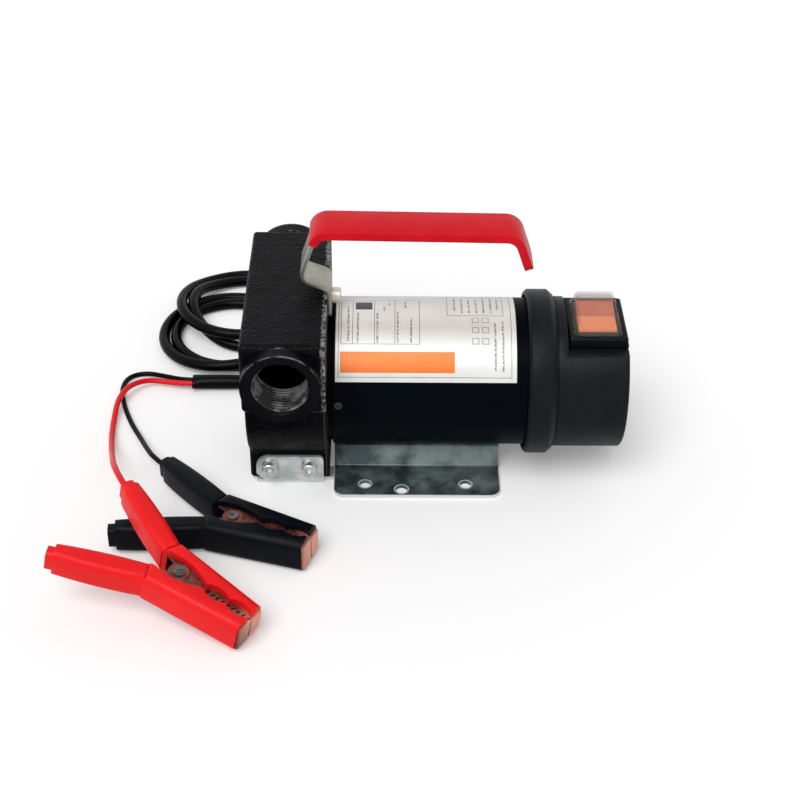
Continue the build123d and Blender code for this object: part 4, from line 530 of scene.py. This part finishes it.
def makeClearBoot():  # clear vinyl over the rocker, greyed a little, more opaque towards the back, with a painted sheen: paler where it is seen edge on
    settings = {
        "smoke": ((0.42, 0.36, 0.32), (0.52, 0.46, 0.42)), "smokeScale": 90.0, "edge": (0.86, 0.82, 0.79),
        "roughness": 0.12, "clear": 0.08, "solid": 0.85, "facingBlend": 0.35, "facingPower": 3.0,
        "rearShares": (0.72, 0.86), "rearOpacity": 0.3, "grain": (160.0, 0.00015)}
    tree, shader = newFinish("clearVinyl", settings["smoke"][0], settings["roughness"])
    shade = mixColour(tree, mottled(tree, settings["smokeScale"]), *settings["smoke"])
    # painted sheen: paler and more solid where the vinyl is seen edge on
    facing = put(tree, "ShaderNodeLayerWeight", {"Blend": settings["facingBlend"]}).outputs["Facing"]
    rim = mathNode(tree, "POWER", facing, settings["facingPower"])
    colourBy(tree, shader, rim, shade, settings["edge"])
    rearSpan = [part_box("switch_boot")[1].y * share for share in settings["rearShares"]]
    # more opaque towards the back
    rear = spreadNode(tree, objectAxes(tree)[1], rearSpan, (0.0, settings["rearOpacity"]))
    alpha = spreadNode(tree, rim, end=(settings["clear"], settings["solid"]))
    tree.links.new(mathNode(tree, "ADD", alpha, rear), shader.inputs["Alpha"])
    addGrain(tree, shader, *settings["grain"])


def makeLabelFoil():  # silver foil printed with blank boxes, rules and one orange band
    # Panels give start and end along X in millimetres, then start and end in degrees above the front of the can.
    settings = {
        "foil": ((0.72, 0.73, 0.7), (0.8, 0.81, 0.78)), "foilScale": 45.0, "metallic": 0.2,
        "ink": (0.1, 0.1, 0.1), "inkStrength": 0.85,
        "orange": (0.84, 0.186, 0.02), "band": (-41.9, 20.3, 33.0, 49.0),
        "blockTone": (0.045, 0.045, 0.048), "block": (-33.8, -24.6, 88.0, 99.0),
        "border": (-43.0, 51.3, 29.5, 118.0), "table": (-41.7, 1.4, 54.7, 103.0), "tableLines": (-35.4, -23.5, -12.4),
        "notice": (16.3, 47.2, 81.0, 112.0), "lineWidth": 0.34,
        "squareX": (31.7, 37.1), "squareTurn": (57.6, 67.0, 76.4), "squareSide": 3.7,
        "rows": (
            (-37.6, 57, 92), (-32.4, 56, 84), (-21.8, 56, 84), (-18.1, 86, 92), (-15.2, 93, 99), (-10.7, 56, 86),
            (-6.4, 90, 100), (-3.4, 56, 78), (20.5, 86, 108), (24.5, 84, 108), (28.5, 84, 108), (32.5, 84, 108),
            (36.5, 84, 108), (40.5, 84, 108), (44.0, 88, 108), (42.4, 35, 74), (46.6, 34, 76)),
        "rowWidth": 1.05, "rowInk": 0.85, "dashScales": (0.62, 0.9), "dashGap": 0.44,
        "gloss": (0.3, 0.4), "glossScale": 120.0, "grain": (420.0, 0.00003)}
    tree, shader = newFinish("labelFoil", settings["foil"][0], roughness=0.34, metallic=settings["metallic"])
    axes = objectAxes(tree)
    along = mathNode(tree, "MULTIPLY", axes[0], 1000.0)
    rise = mathNode(tree, "SUBTRACT", axes[2], axisHeight)
    turn = mathNode(tree, "ARCTAN2", rise, mathNode(tree, "MULTIPLY", axes[1], -1.0))
    around = mathNode(tree, "DEGREES", turn)
    degreesPerMillimetre = math.degrees(0.001 / canRadius)
    lineWidth = settings["lineWidth"]
    lineTurn = lineWidth * degreesPerMillimetre

    def panel(startX, endX, startTurn, endTurn):
        insideX = mathNode(tree, "COMPARE", along, (startX + endX) / 2, (endX - startX) / 2)
        insideTurn = mathNode(tree, "COMPARE", around, (startTurn + endTurn) / 2, (endTurn - startTurn) / 2)
        return mathNode(tree, "MULTIPLY", insideX, insideTurn)

    def outline(startX, endX, startTurn, endTurn):
        inner = panel(startX + lineWidth, endX - lineWidth, startTurn + lineTurn, endTurn - lineTurn)
        return mathNode(tree, "SUBTRACT", panel(startX, endX, startTurn, endTurn), inner)

    lines = [outline(*settings[name]) for name in ("border", "table", "notice")]
    lines += [panel(x, x + lineWidth, *settings["table"][2:]) for x in settings["tableLines"]]
    halfSide = settings["squareSide"] / 2
    halfTurn = halfSide * degreesPerMillimetre
    for x in settings["squareX"]:
        for angle in settings["squareTurn"]:
            lines.append(outline(x - halfSide, x + halfSide, angle - halfTurn, angle + halfTurn))
    foil = mixColour(tree, mottled(tree, settings["foilScale"]), *settings["foil"])
    foil = mixColour(tree, panel(*settings["band"]), foil, settings["orange"])
    foil = mixColour(tree, panel(*settings["block"]), foil, settings["blockTone"])
    spot = put(tree, "ShaderNodeCombineXYZ", {
        index: mathNode(tree, "MULTIPLY", value, scale)
        for index, (value, scale) in enumerate(zip((around, along), settings["dashScales"]))})
    dash = put(tree, "ShaderNodeTexNoise", {"Vector": spot.outputs[0], "Scale": 1.0, "Detail": 1.0})
    broken = mathNode(tree, "GREATER_THAN", dash.outputs[0], settings["dashGap"])
    halfRow = settings["rowWidth"] / 2
    rows = chain(tree, "MAXIMUM", *[panel(x - halfRow, x + halfRow, *span) for x, *span in settings["rows"]])
    lines.append(chain(tree, "MULTIPLY", rows, broken, settings["rowInk"]))
    drawn = mathNode(tree, "MULTIPLY", chain(tree, "MAXIMUM", *lines), settings["inkStrength"])
    colourBy(tree, shader, drawn, foil, settings["ink"])
    addGloss(tree, shader, settings["glossScale"], settings["gloss"])
    addGrain(tree, shader, *settings["grain"])


for name, look in simpleLooks.items():
    makeTwoTone(name, look)
makeHeadPaint("headPaint", chippedAndHighlighted=True)
makeHeadPaint("coverPaint", chippedAndHighlighted=False)
makePlatePaint()
makeCutThread()
makeGalvanised()
for colour in ("red", "black"):
    makeCopperPlate(f"{colour}Copper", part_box(f"{colour}_clamp_fixed_jaw")[1].x)
makeRockerOrange()
makeClearBoot()
makeLabelFoil()

finishOf = {
    "headPaint": ("pump_head",),
    "coverPaint": ("head_cover",),
    "gasketPaper": ("cover_gasket", "plate_gasket"),
    "platePaint": ("motor_plate",),
    "motorPaint": ("motor_can", "front_bell"),
    "labelFoil": ("data_label",),
    "capPlastic": ("end_cap",),
    "bezelPlastic": ("switch_housing",),
    "rockerOrange": ("switch_rocker",),
    "clearVinyl": ("switch_boot",),
    "strapZinc": ("handle_strap",),
    "gripVinyl": ("handle_grip",),
    "screwZinc": ("bell_screws", "tie_bolts", "spring_washers", "bracket_screws"),
    "creamZinc": ("handle_screw",),
    "rivetSteel": ("red_clamp_rivet", "black_clamp_rivet"),
    "screwBlack": ("cover_screws", "cap_screws", "can_screws"),
    "galvanised": ("base_bracket",),
    "bellAluminium": ("rear_bell",),
    "machinedSteel": ("armature_shaft", "pump_rotor"),
    "bearingSteel": ("front_bearing", "rear_bearing"),
    "laminations": ("armature_core",),
    "enamelledWire": ("armature_windings", "commutator"),
    "ferrite": ("field_magnets",),
    "carbon": ("brushes",),
    "brass": ("brush_holders", "bypass_retainer"),
    "vanePlastic": ("rotor_vanes", "bypass_poppet"),
    "sealRubber": ("shaft_seal", "cable_gland"),
    "springSteel": ("bypass_spring", "brush_springs", "red_clamp_spring", "black_clamp_spring"),
    "cableJacket": ("supply_cable", "cable_coil", "cable_tail", "cable_sleeve", "black_wire"),
    "redJacket": ("red_wire",),
    "redCover": ("red_clamp_fixed_cover", "red_clamp_moving_cover"),
    "blackCover": ("black_clamp_fixed_cover", "black_clamp_moving_cover"),
    "redCopper": ("red_clamp_fixed_jaw", "red_clamp_moving_jaw"),
    "blackCopper": ("black_clamp_fixed_jaw", "black_clamp_moving_jaw"),
}
nodeFinish = {node: finishes[name] for name, members in finishOf.items() for node in members}
for node, material in nodeFinish.items():
    for materialSlot in nodes[node].material_slots:
        materialSlot.material = material
print("finishes given to", len(nodeFinish), "of", len(nodes), "nodes")


# Camera.
cameraLook = {
    "lens": 71.1, "sensor": 36.0, "place": (-0.0174, -0.731, 0.5728), "target": (-0.0088, 0.0, 0.03385), "roll": 0.7}


def addCamera(look):
    place, target = Vector(look["place"]), Vector(look["target"])
    level = (target - place).to_track_quat("-Z", "Y").to_matrix()
    turned = level @ Matrix.Rotation(math.radians(look["roll"]), 3, "Z")
    bpy.ops.object.camera_add(location=place, rotation=turned.to_euler())
    camera = bpy.context.object
    camera.data.lens = look["lens"]
    camera.data.sensor_width = look["sensor"]
    bpy.context.scene.camera = camera


addCamera(cameraLook)
print("camera set")


# Cords. A route lists a curve's control points, from the end that is held by a fitting or a sleeve.
coilTurns = {
    "stepsPerTurn": 12, "startAngle": -49.0,
    "lowerCentre": (-0.1166, 0.112), "upperCentre": (-0.1076, 0.140),
    # step, share of the way from the lower centre to the upper one, radius and height in millimetres
    "stages": (
        (1, 0.0, 43.2, 9.6), (2, 0.0, 42.7, 7.2), (3, 0.0, 42.4, 5.0), (4, 0.0, 42.4, 3.7), (9, 0.0, 42.4, 3.6),
        (11, 0.0, 40.9, 3.6), (13, 0.0, 36.4, 3.6), (15, 0.0, 34.8, 3.6), (18, 0.0, 34.8, 3.6), (20, 0.1, 32.6, 3.6),
        (21, 0.18, 31.0, 3.6), (23, 0.36, 31.2, 3.6), (24, 0.46, 31.6, 3.6), (25, 0.58, 32.0, 3.6),
        (26, 0.73, 32.6, 4.0), (27, 0.88, 33.8, 7.6), (28, 0.97, 34.9, 11.4), (29, 1.0, 35.2, 10.6),
        (30, 1.0, 35.2, 5.5), (31, 1.0, 35.2, 3.7), (32, 1.0, 35.2, 3.6), (33, 1.0, 35.2, 5.0), (34, 1.0, 35.2, 9.4),
        (35, 1.0, 35.8, 11.4), (36, 1.0, 38.0, 11.4), (37, 1.0, 40.4, 11.4), (38, 1.0, 42.0, 12.0),
        (39, 1.0, 42.6, 12.4), (40, 1.0, 42.6, 12.4), (41, 1.0, 42.6, 9.4), (42, 1.0, 42.6, 4.8), (43, 1.0, 42.6, 3.6),
        (46, 1.0, 42.6, 3.6)),
}


def coilPoints(turns):
    lower, upper = Vector(turns["lowerCentre"]), Vector(turns["upperCentre"])
    stepAngle = 2 * math.pi / turns["stepsPerTurn"]
    outward = 1000 * math.cos(stepAngle / 2)  # control points stand outside the curve that they draw
    points = []
    for first, second in zip(turns["stages"], turns["stages"][1:]):
        last = second is turns["stages"][-1]
        for step in range(first[0], second[0] + (1 if last else 0)):
            part = (step - first[0]) / (second[0] - first[0])
            share, radius, height = [a + (b - a) * part for a, b in zip(first[1:], second[1:])]
            centre = lower.lerp(upper, share)
            angle = math.radians(turns["startAngle"]) - step * stepAngle
            reach = radius / outward
            points.append((centre.x + reach * math.cos(angle), centre.y + reach * math.sin(angle), height / 1000))
    return points


supplyRoute = [
    (0.096, 0.0571, 0.02205), (0.096, 0.0778, 0.0102), (0.0842, 0.0982, 0.0039), (0.0638, 0.11, 0.0035),
    (0.036, 0.108, 0.0035), (0.006, 0.105, 0.0035), (-0.025, 0.108, 0.005), (-0.052, 0.105, 0.0114),
    (-0.073, 0.092, 0.0114), (-0.088, 0.079, 0.0105)]
tailRoute = [
    (-0.0665, 0.126, 0.0035), (-0.0643, 0.105, 0.0035), (-0.064, 0.084, 0.0035), (-0.0736, 0.0671, 0.0039),
    (-0.0904, 0.0575, 0.0046), (-0.115, 0.0575, 0.0046)]
redRoute = [
    (-0.1326, 0.0556, 0.0046), (-0.1415, 0.0556, 0.0046), (-0.1525, 0.059, 0.0034), (-0.164, 0.059, 0.0048),
    (-0.1735, 0.0505, 0.0066), (-0.1783, 0.0375, 0.0062), (-0.179, 0.021, 0.0028), (-0.1778, 0.003, 0.003),
    (-0.174, -0.018, 0.0095), (-0.1695, -0.039, 0.02), (-0.1655, -0.057, 0.0315), (-0.1599, -0.073, 0.0361),
    (-0.1531, -0.0837, 0.0333)]
blackRoute = [
    (-0.1326, 0.0594, 0.0046), (-0.1415, 0.0594, 0.0046), (-0.153, 0.066, 0.0024), (-0.166, 0.071, 0.0015),
    (-0.1765, 0.0665, 0.0015), (-0.179, 0.0535, 0.0015), (-0.1755, 0.038, 0.0015), (-0.169, 0.02, 0.0015),
    (-0.16, 0.001, 0.0035), (-0.1535, -0.0155, 0.008), (-0.1482, -0.0252, 0.01), (-0.1394, -0.0347, 0.01)]


def layCord(name, route, diameter, finish):
    curve = bpy.data.curves.new(name, "CURVE")
    curve.dimensions = "3D"
    spline = curve.splines.new("NURBS")
    spline.points.add(len(route) - 1)
    for spot, place in zip(spline.points, route):
        spot.co = (*place, 1.0)
    spline.order_u = 3
    spline.use_endpoint_u = True
    curve.resolution_u = 8
    curve.bevel_depth = diameter / 2
    curve.bevel_resolution = 6
    curve.use_fill_caps = True
    curve.materials.append(finishes[finish])
    cord = addObject(name, curve)
    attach(cord, "pump")
    return cord


mainCable = layCord("mainCable", supplyRoute + coilPoints(coilTurns) + tailRoute, 0.007, "cableJacket")
redWire = layCord("redWire", redRoute, 0.0034, "redJacket")
blackWire = layCord("blackWire", blackRoute, 0.003, "cableJacket")
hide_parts("supply_cable", "cable_coil", "cable_tail")
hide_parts("red_wire")
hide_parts("black_wire")
print("cords laid")


# Pieces copied from the CAD solids, some of them to be softened.
softLook = {"merge": 0.000002, "flat": 0.6, "sharp": 32.0, "smooth": 38.0}  # metres, then degrees


def copyNode(node, name, flat=None):  # merges the copy's loose triangles, and those that are level within flat degrees
    piece = addObject(name, nodes[node].data.copy())
    selectOnly(piece)
    bpy.ops.mesh.customdata_custom_splitnormals_clear()
    bpy.ops.object.mode_set(mode="EDIT")
    bpy.ops.mesh.select_all(action="SELECT")
    bpy.ops.mesh.remove_doubles(threshold=softLook["merge"])
    if flat:
        bpy.ops.mesh.dissolve_limited(angle_limit=math.radians(flat))
        bpy.ops.mesh.select_all(action="DESELECT")
    bpy.ops.object.mode_set(mode="OBJECT")
    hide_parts(node)
    return piece


seamLook = {  # metres and square metres; opposed and alike are cosines between two faces' normals
    "leastArea": 0.000006, "narrowest": 0.0004, "widest": 0.0032, "near": 0.014, "overlap": 0.0005,
    "level": 0.00002, "opposed": -0.99, "alike": 0.999}


def closeSeam(piece, look):  # the clamp's sleeve is drawn just into its shroud, and soft edges leave a groove there
    faces = [face for face in piece.data.polygons if face.area > look["leastArea"]]
    gaps = []
    for first in faces:
        for second in faces:
            away = second.center - first.center
            distance = away.dot(first.normal)
            faceToFace = first.normal.dot(second.normal) < look["opposed"]
            if faceToFace and look["narrowest"] < distance < look["widest"] and away.length < look["near"]:
                gaps.append((-first.area, first.index, distance))
    if not gaps:
        return
    index, distance = min(gaps)[1:]  # the largest face
    end = piece.data.polygons[index]
    endNormal, endCentre = end.normal.copy(), end.center.copy()
    for face in piece.data.polygons:
        level = abs((face.center - endCentre).dot(endNormal)) < look["level"]
        face.select = level and face.normal.dot(endNormal) > look["alike"]
    bpy.ops.object.mode_set(mode="EDIT")
    bpy.ops.mesh.select_mode(type="FACE")
    bpy.ops.transform.translate(value=endNormal * (distance + look["overlap"]))
    bpy.ops.object.mode_set(mode="OBJECT")


def softened(node, name, width, segments, seam=False):
    piece = copyNode(node, name, softLook["flat"])
    if seam:
        closeSeam(piece, seamLook)
    bevel = piece.modifiers.new("softEdge", "BEVEL")
    bevel.width = width
    bevel.segments = segments
    bevel.limit_method = "ANGLE"
    bevel.angle_limit = math.radians(softLook["sharp"])
    bevel.miter_outer = "MITER_ARC"
    applyModifiers(piece)
    smoothBelow(softLook["smooth"])
    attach(piece, nodes[node]["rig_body"])


softPieces = {  # node: name, edge width, segments
    "handle_grip": ("handleGrip", 0.0014, 3),
    "handle_strap": ("handleStrap", 0.0004, 2),
    "base_bracket": ("baseBracket", 0.0003, 2),
    "motor_plate": ("motorPlate", 0.0002, 2),
    "end_cap": ("endCap", 0.0005, 2),
    "switch_housing": ("switchHousing", 0.0004, 2),
    "switch_rocker": ("switchRocker", 0.0004, 2),
    "cable_gland": ("cableGland", 0.0003, 2),
}
clampPieces = {}
for colour in ("red", "black"):
    clampPieces[colour] = [nodes[f"{colour}_clamp_rivet"]]
    for half in ("fixed", "moving"):
        softened(f"{colour}_clamp_{half}_cover", f"{colour}Clamp{half.title()}Cover", 0.0008, 3, seam=True)
        clampPieces[colour].append(nodes[f"{colour}_clamp_{half}_jaw"])
for node, (name, width, segments) in softPieces.items():
    softened(node, name, width, segments)
print("edges softened")

springLook = {"feetShare": 0.9, "turnWidth": 0.004, "smooth": 60.0}
for colour in ("red", "black"):  # each clamp's spring is copied, merged and shaded smooth in place
    spring = copyNode(f"{colour}_clamp_spring", f"{colour}ClampSpring")
    smoothBelow(springLook["smooth"])
    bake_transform(spring)

bypassSpring = copyNode("bypass_spring", "bypassSpring")  # copied onto the bypass spring's body, with a mesh of its own
smoothBelow(springLook["smooth"])
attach(bypassSpring, nodes["bypass_spring"]["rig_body"])
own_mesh(bypassSpring)
print("springs fitted")


# Shrink sleeve where the two wires leave the cable.
sleeveLook = {
    "sides": 40, "wall": 0.0005, "smooth": 50.0, "level": 0.00001,
    # share of the length from the open end, then width and height there
    "stations": (
        (0.0, 1.25, 0.8), (0.08, 1.12, 0.88), (0.2, 1.0, 0.95), (0.45, 0.97, 0.97), (0.7, 0.97, 0.97),
        (0.86, 0.9, 0.9), (1.0, 0.84, 0.84))}


def makeSleeve(look):
    low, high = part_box("cable_sleeve")
    centre = (low + high) / 2
    bpy.ops.object.select_all(action="DESELECT")
    bpy.ops.mesh.primitive_cylinder_add(
        vertices=look["sides"], radius=(high.z - low.z) / 2, depth=high.x - low.x, end_fill_type="NOTHING",
        location=centre, rotation=(0.0, math.pi / 2, 0.0))
    sleeve = bpy.context.object
    sleeve.name = "cableSleeve"
    applyPlace(sleeve)
    stations = [(low.x + share * (high.x - low.x), wide, tall) for share, wide, tall in look["stations"]]
    bpy.ops.object.mode_set(mode="EDIT")
    for station in stations[1:-1]:
        bpy.ops.mesh.select_all(action="SELECT")
        bpy.ops.mesh.bisect(plane_co=(station[0], 0.0, 0.0), plane_no=(1.0, 0.0, 0.0))
    for x, wide, tall in stations:
        bpy.ops.mesh.select_all(action="DESELECT")
        bpy.ops.object.mode_set(mode="OBJECT")
        for vertex in sleeve.data.vertices:
            vertex.select = abs(vertex.co.x - x) < look["level"]
        bpy.ops.object.mode_set(mode="EDIT")
        bpy.ops.mesh.select_mode(type="VERT")
        bpy.ops.transform.resize(value=(1.0, wide, tall), center_override=(x, centre.y, centre.z))
    bpy.ops.object.mode_set(mode="OBJECT")
    sleeve.modifiers.new("wall", "SOLIDIFY").thickness = look["wall"]
    smooth = sleeve.modifiers.new("smooth", "SUBSURF")
    smooth.levels = 1
    smooth.render_levels = 1
    applyModifiers(sleeve)
    smoothBelow(look["smooth"])
    sleeve.data.materials.append(finishes["cableJacket"])
    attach(sleeve, "pump")
    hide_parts("cable_sleeve")
    return sleeve


cableSleeve = makeSleeve(sleeveLook)


# Pipe threads inside the two ports.
threadLook = {
    "pitch": 0.002309, "turns": 9, "rootRadius": 0.01515, "depth": 0.00085, "inset": 0.0016, "steps": 48,
    "profileShare": 0.8, "sunkShare": 0.25, "smooth": 40.0}


def cutThread(name, look):  # one thread, standing on its end
    profilePlace = (look["rootRadius"] - look["depth"] * look["sunkShare"], 0.0, 0.0)
    bpy.ops.object.select_all(action="DESELECT")
    bpy.ops.mesh.primitive_circle_add(
        vertices=3, radius=look["depth"] * look["profileShare"], fill_type="NOTHING", location=profilePlace,
        rotation=(math.pi / 2, 0.0, 0.0))
    thread = bpy.context.object
    thread.name = name
    applyPlace(thread)
    bpy.ops.object.mode_set(mode="EDIT")
    bpy.ops.mesh.select_all(action="SELECT")
    bpy.ops.transform.rotate(value=math.radians(90), orient_axis="Y", center_override=profilePlace)
    bpy.ops.object.mode_set(mode="OBJECT")
    screw = thread.modifiers.new("helix", "SCREW")
    screw.screw_offset = look["pitch"]
    screw.iterations = look["turns"]
    screw.steps = look["steps"]
    screw.render_steps = look["steps"]
    screw.use_merge_vertices = False
    applyModifiers(thread)
    bpy.ops.object.mode_set(mode="EDIT")
    bpy.ops.mesh.select_all(action="DESELECT")
    bpy.ops.mesh.select_non_manifold()
    bpy.ops.mesh.fill()
    bpy.ops.mesh.select_all(action="SELECT")
    bpy.ops.mesh.normals_make_consistent(inside=False)
    bpy.ops.object.mode_set(mode="OBJECT")
    smoothBelow(look["smooth"])
    thread.data.materials.append(finishes["cutThread"])
    return thread


def seatThread(thread, side, look):
    innerEnd = port["mouthY"] - look["inset"] - look["turns"] * look["pitch"]
    thread.rotation_euler = (-side * math.pi / 2, 0.0, 0.0)
    thread.location = (port["x"], side * innerEnd, port["z"])
    applyPlace(thread)
    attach(thread, "pump")


frontPortThread = cutThread("frontPortThread", threadLook)
backPortThread = addObject("backPortThread", frontPortThread.data.copy())
seatThread(frontPortThread, -1, threadLook)
seatThread(backPortThread, 1, threadLook)
print("port threads cut")


# Floor, world and lamp.
studio = {
    "floorSize": 8.0, "floorDrop": 0.0002, "floorColour": (0.9, 0.9, 0.9), "floorRoughness": 0.9, "floorLift": 0.17,
    "white": (1.0, 1.0, 1.0, 1.0), "worldLight": 0.5, "keyPower": 1.7, "keySoftness": 40.0, "keyTurn": (-30.0, -16.0)}


def addStudio(look):
    bpy.ops.object.select_all(action="DESELECT")
    bpy.ops.mesh.primitive_plane_add(size=look["floorSize"], location=(0.0, 0.0, -look["floorDrop"]))
    floor = bpy.context.object
    floor.name = "floor"
    tree, shader = newFinish("floorWhite", look["floorColour"], look["floorRoughness"], specular=0.0)
    path = put(tree, "ShaderNodeLightPath").outputs
    shader.inputs["Emission Color"].default_value = look["white"]
    lift = mathNode(tree, "MULTIPLY", path["Is Camera Ray"], look["floorLift"])
    tree.links.new(lift, shader.inputs["Emission Strength"])
    floor.data.materials.append(finishes["floorWhite"])

    world = bpy.data.worlds.new("studio")
    bpy.context.scene.world = world
    world.use_nodes = True
    tree = world.node_tree
    background = tree.nodes["Background"]
    background.inputs["Color"].default_value = look["white"]
    path = put(tree, "ShaderNodeLightPath").outputs
    seen = chain(tree, "MAXIMUM", *[path[f"Is {kind} Ray"] for kind in ("Camera", "Glossy", "Transmission")])
    tree.links.new(spreadNode(tree, seen, end=(look["worldLight"], 1.0)), background.inputs["Strength"])

    turnX, turnY = [math.radians(angle) for angle in look["keyTurn"]]
    bpy.ops.object.light_add(type="SUN", location=(0.0, 0.0, 1.0), rotation=(-turnX, turnY, 0.0))
    key = bpy.context.object
    key.data.energy = look["keyPower"]
    key.data.angle = math.radians(look["keySoftness"])


addStudio(studio)
bpy.context.scene.view_settings.view_transform = "Standard"
print("studio lit")
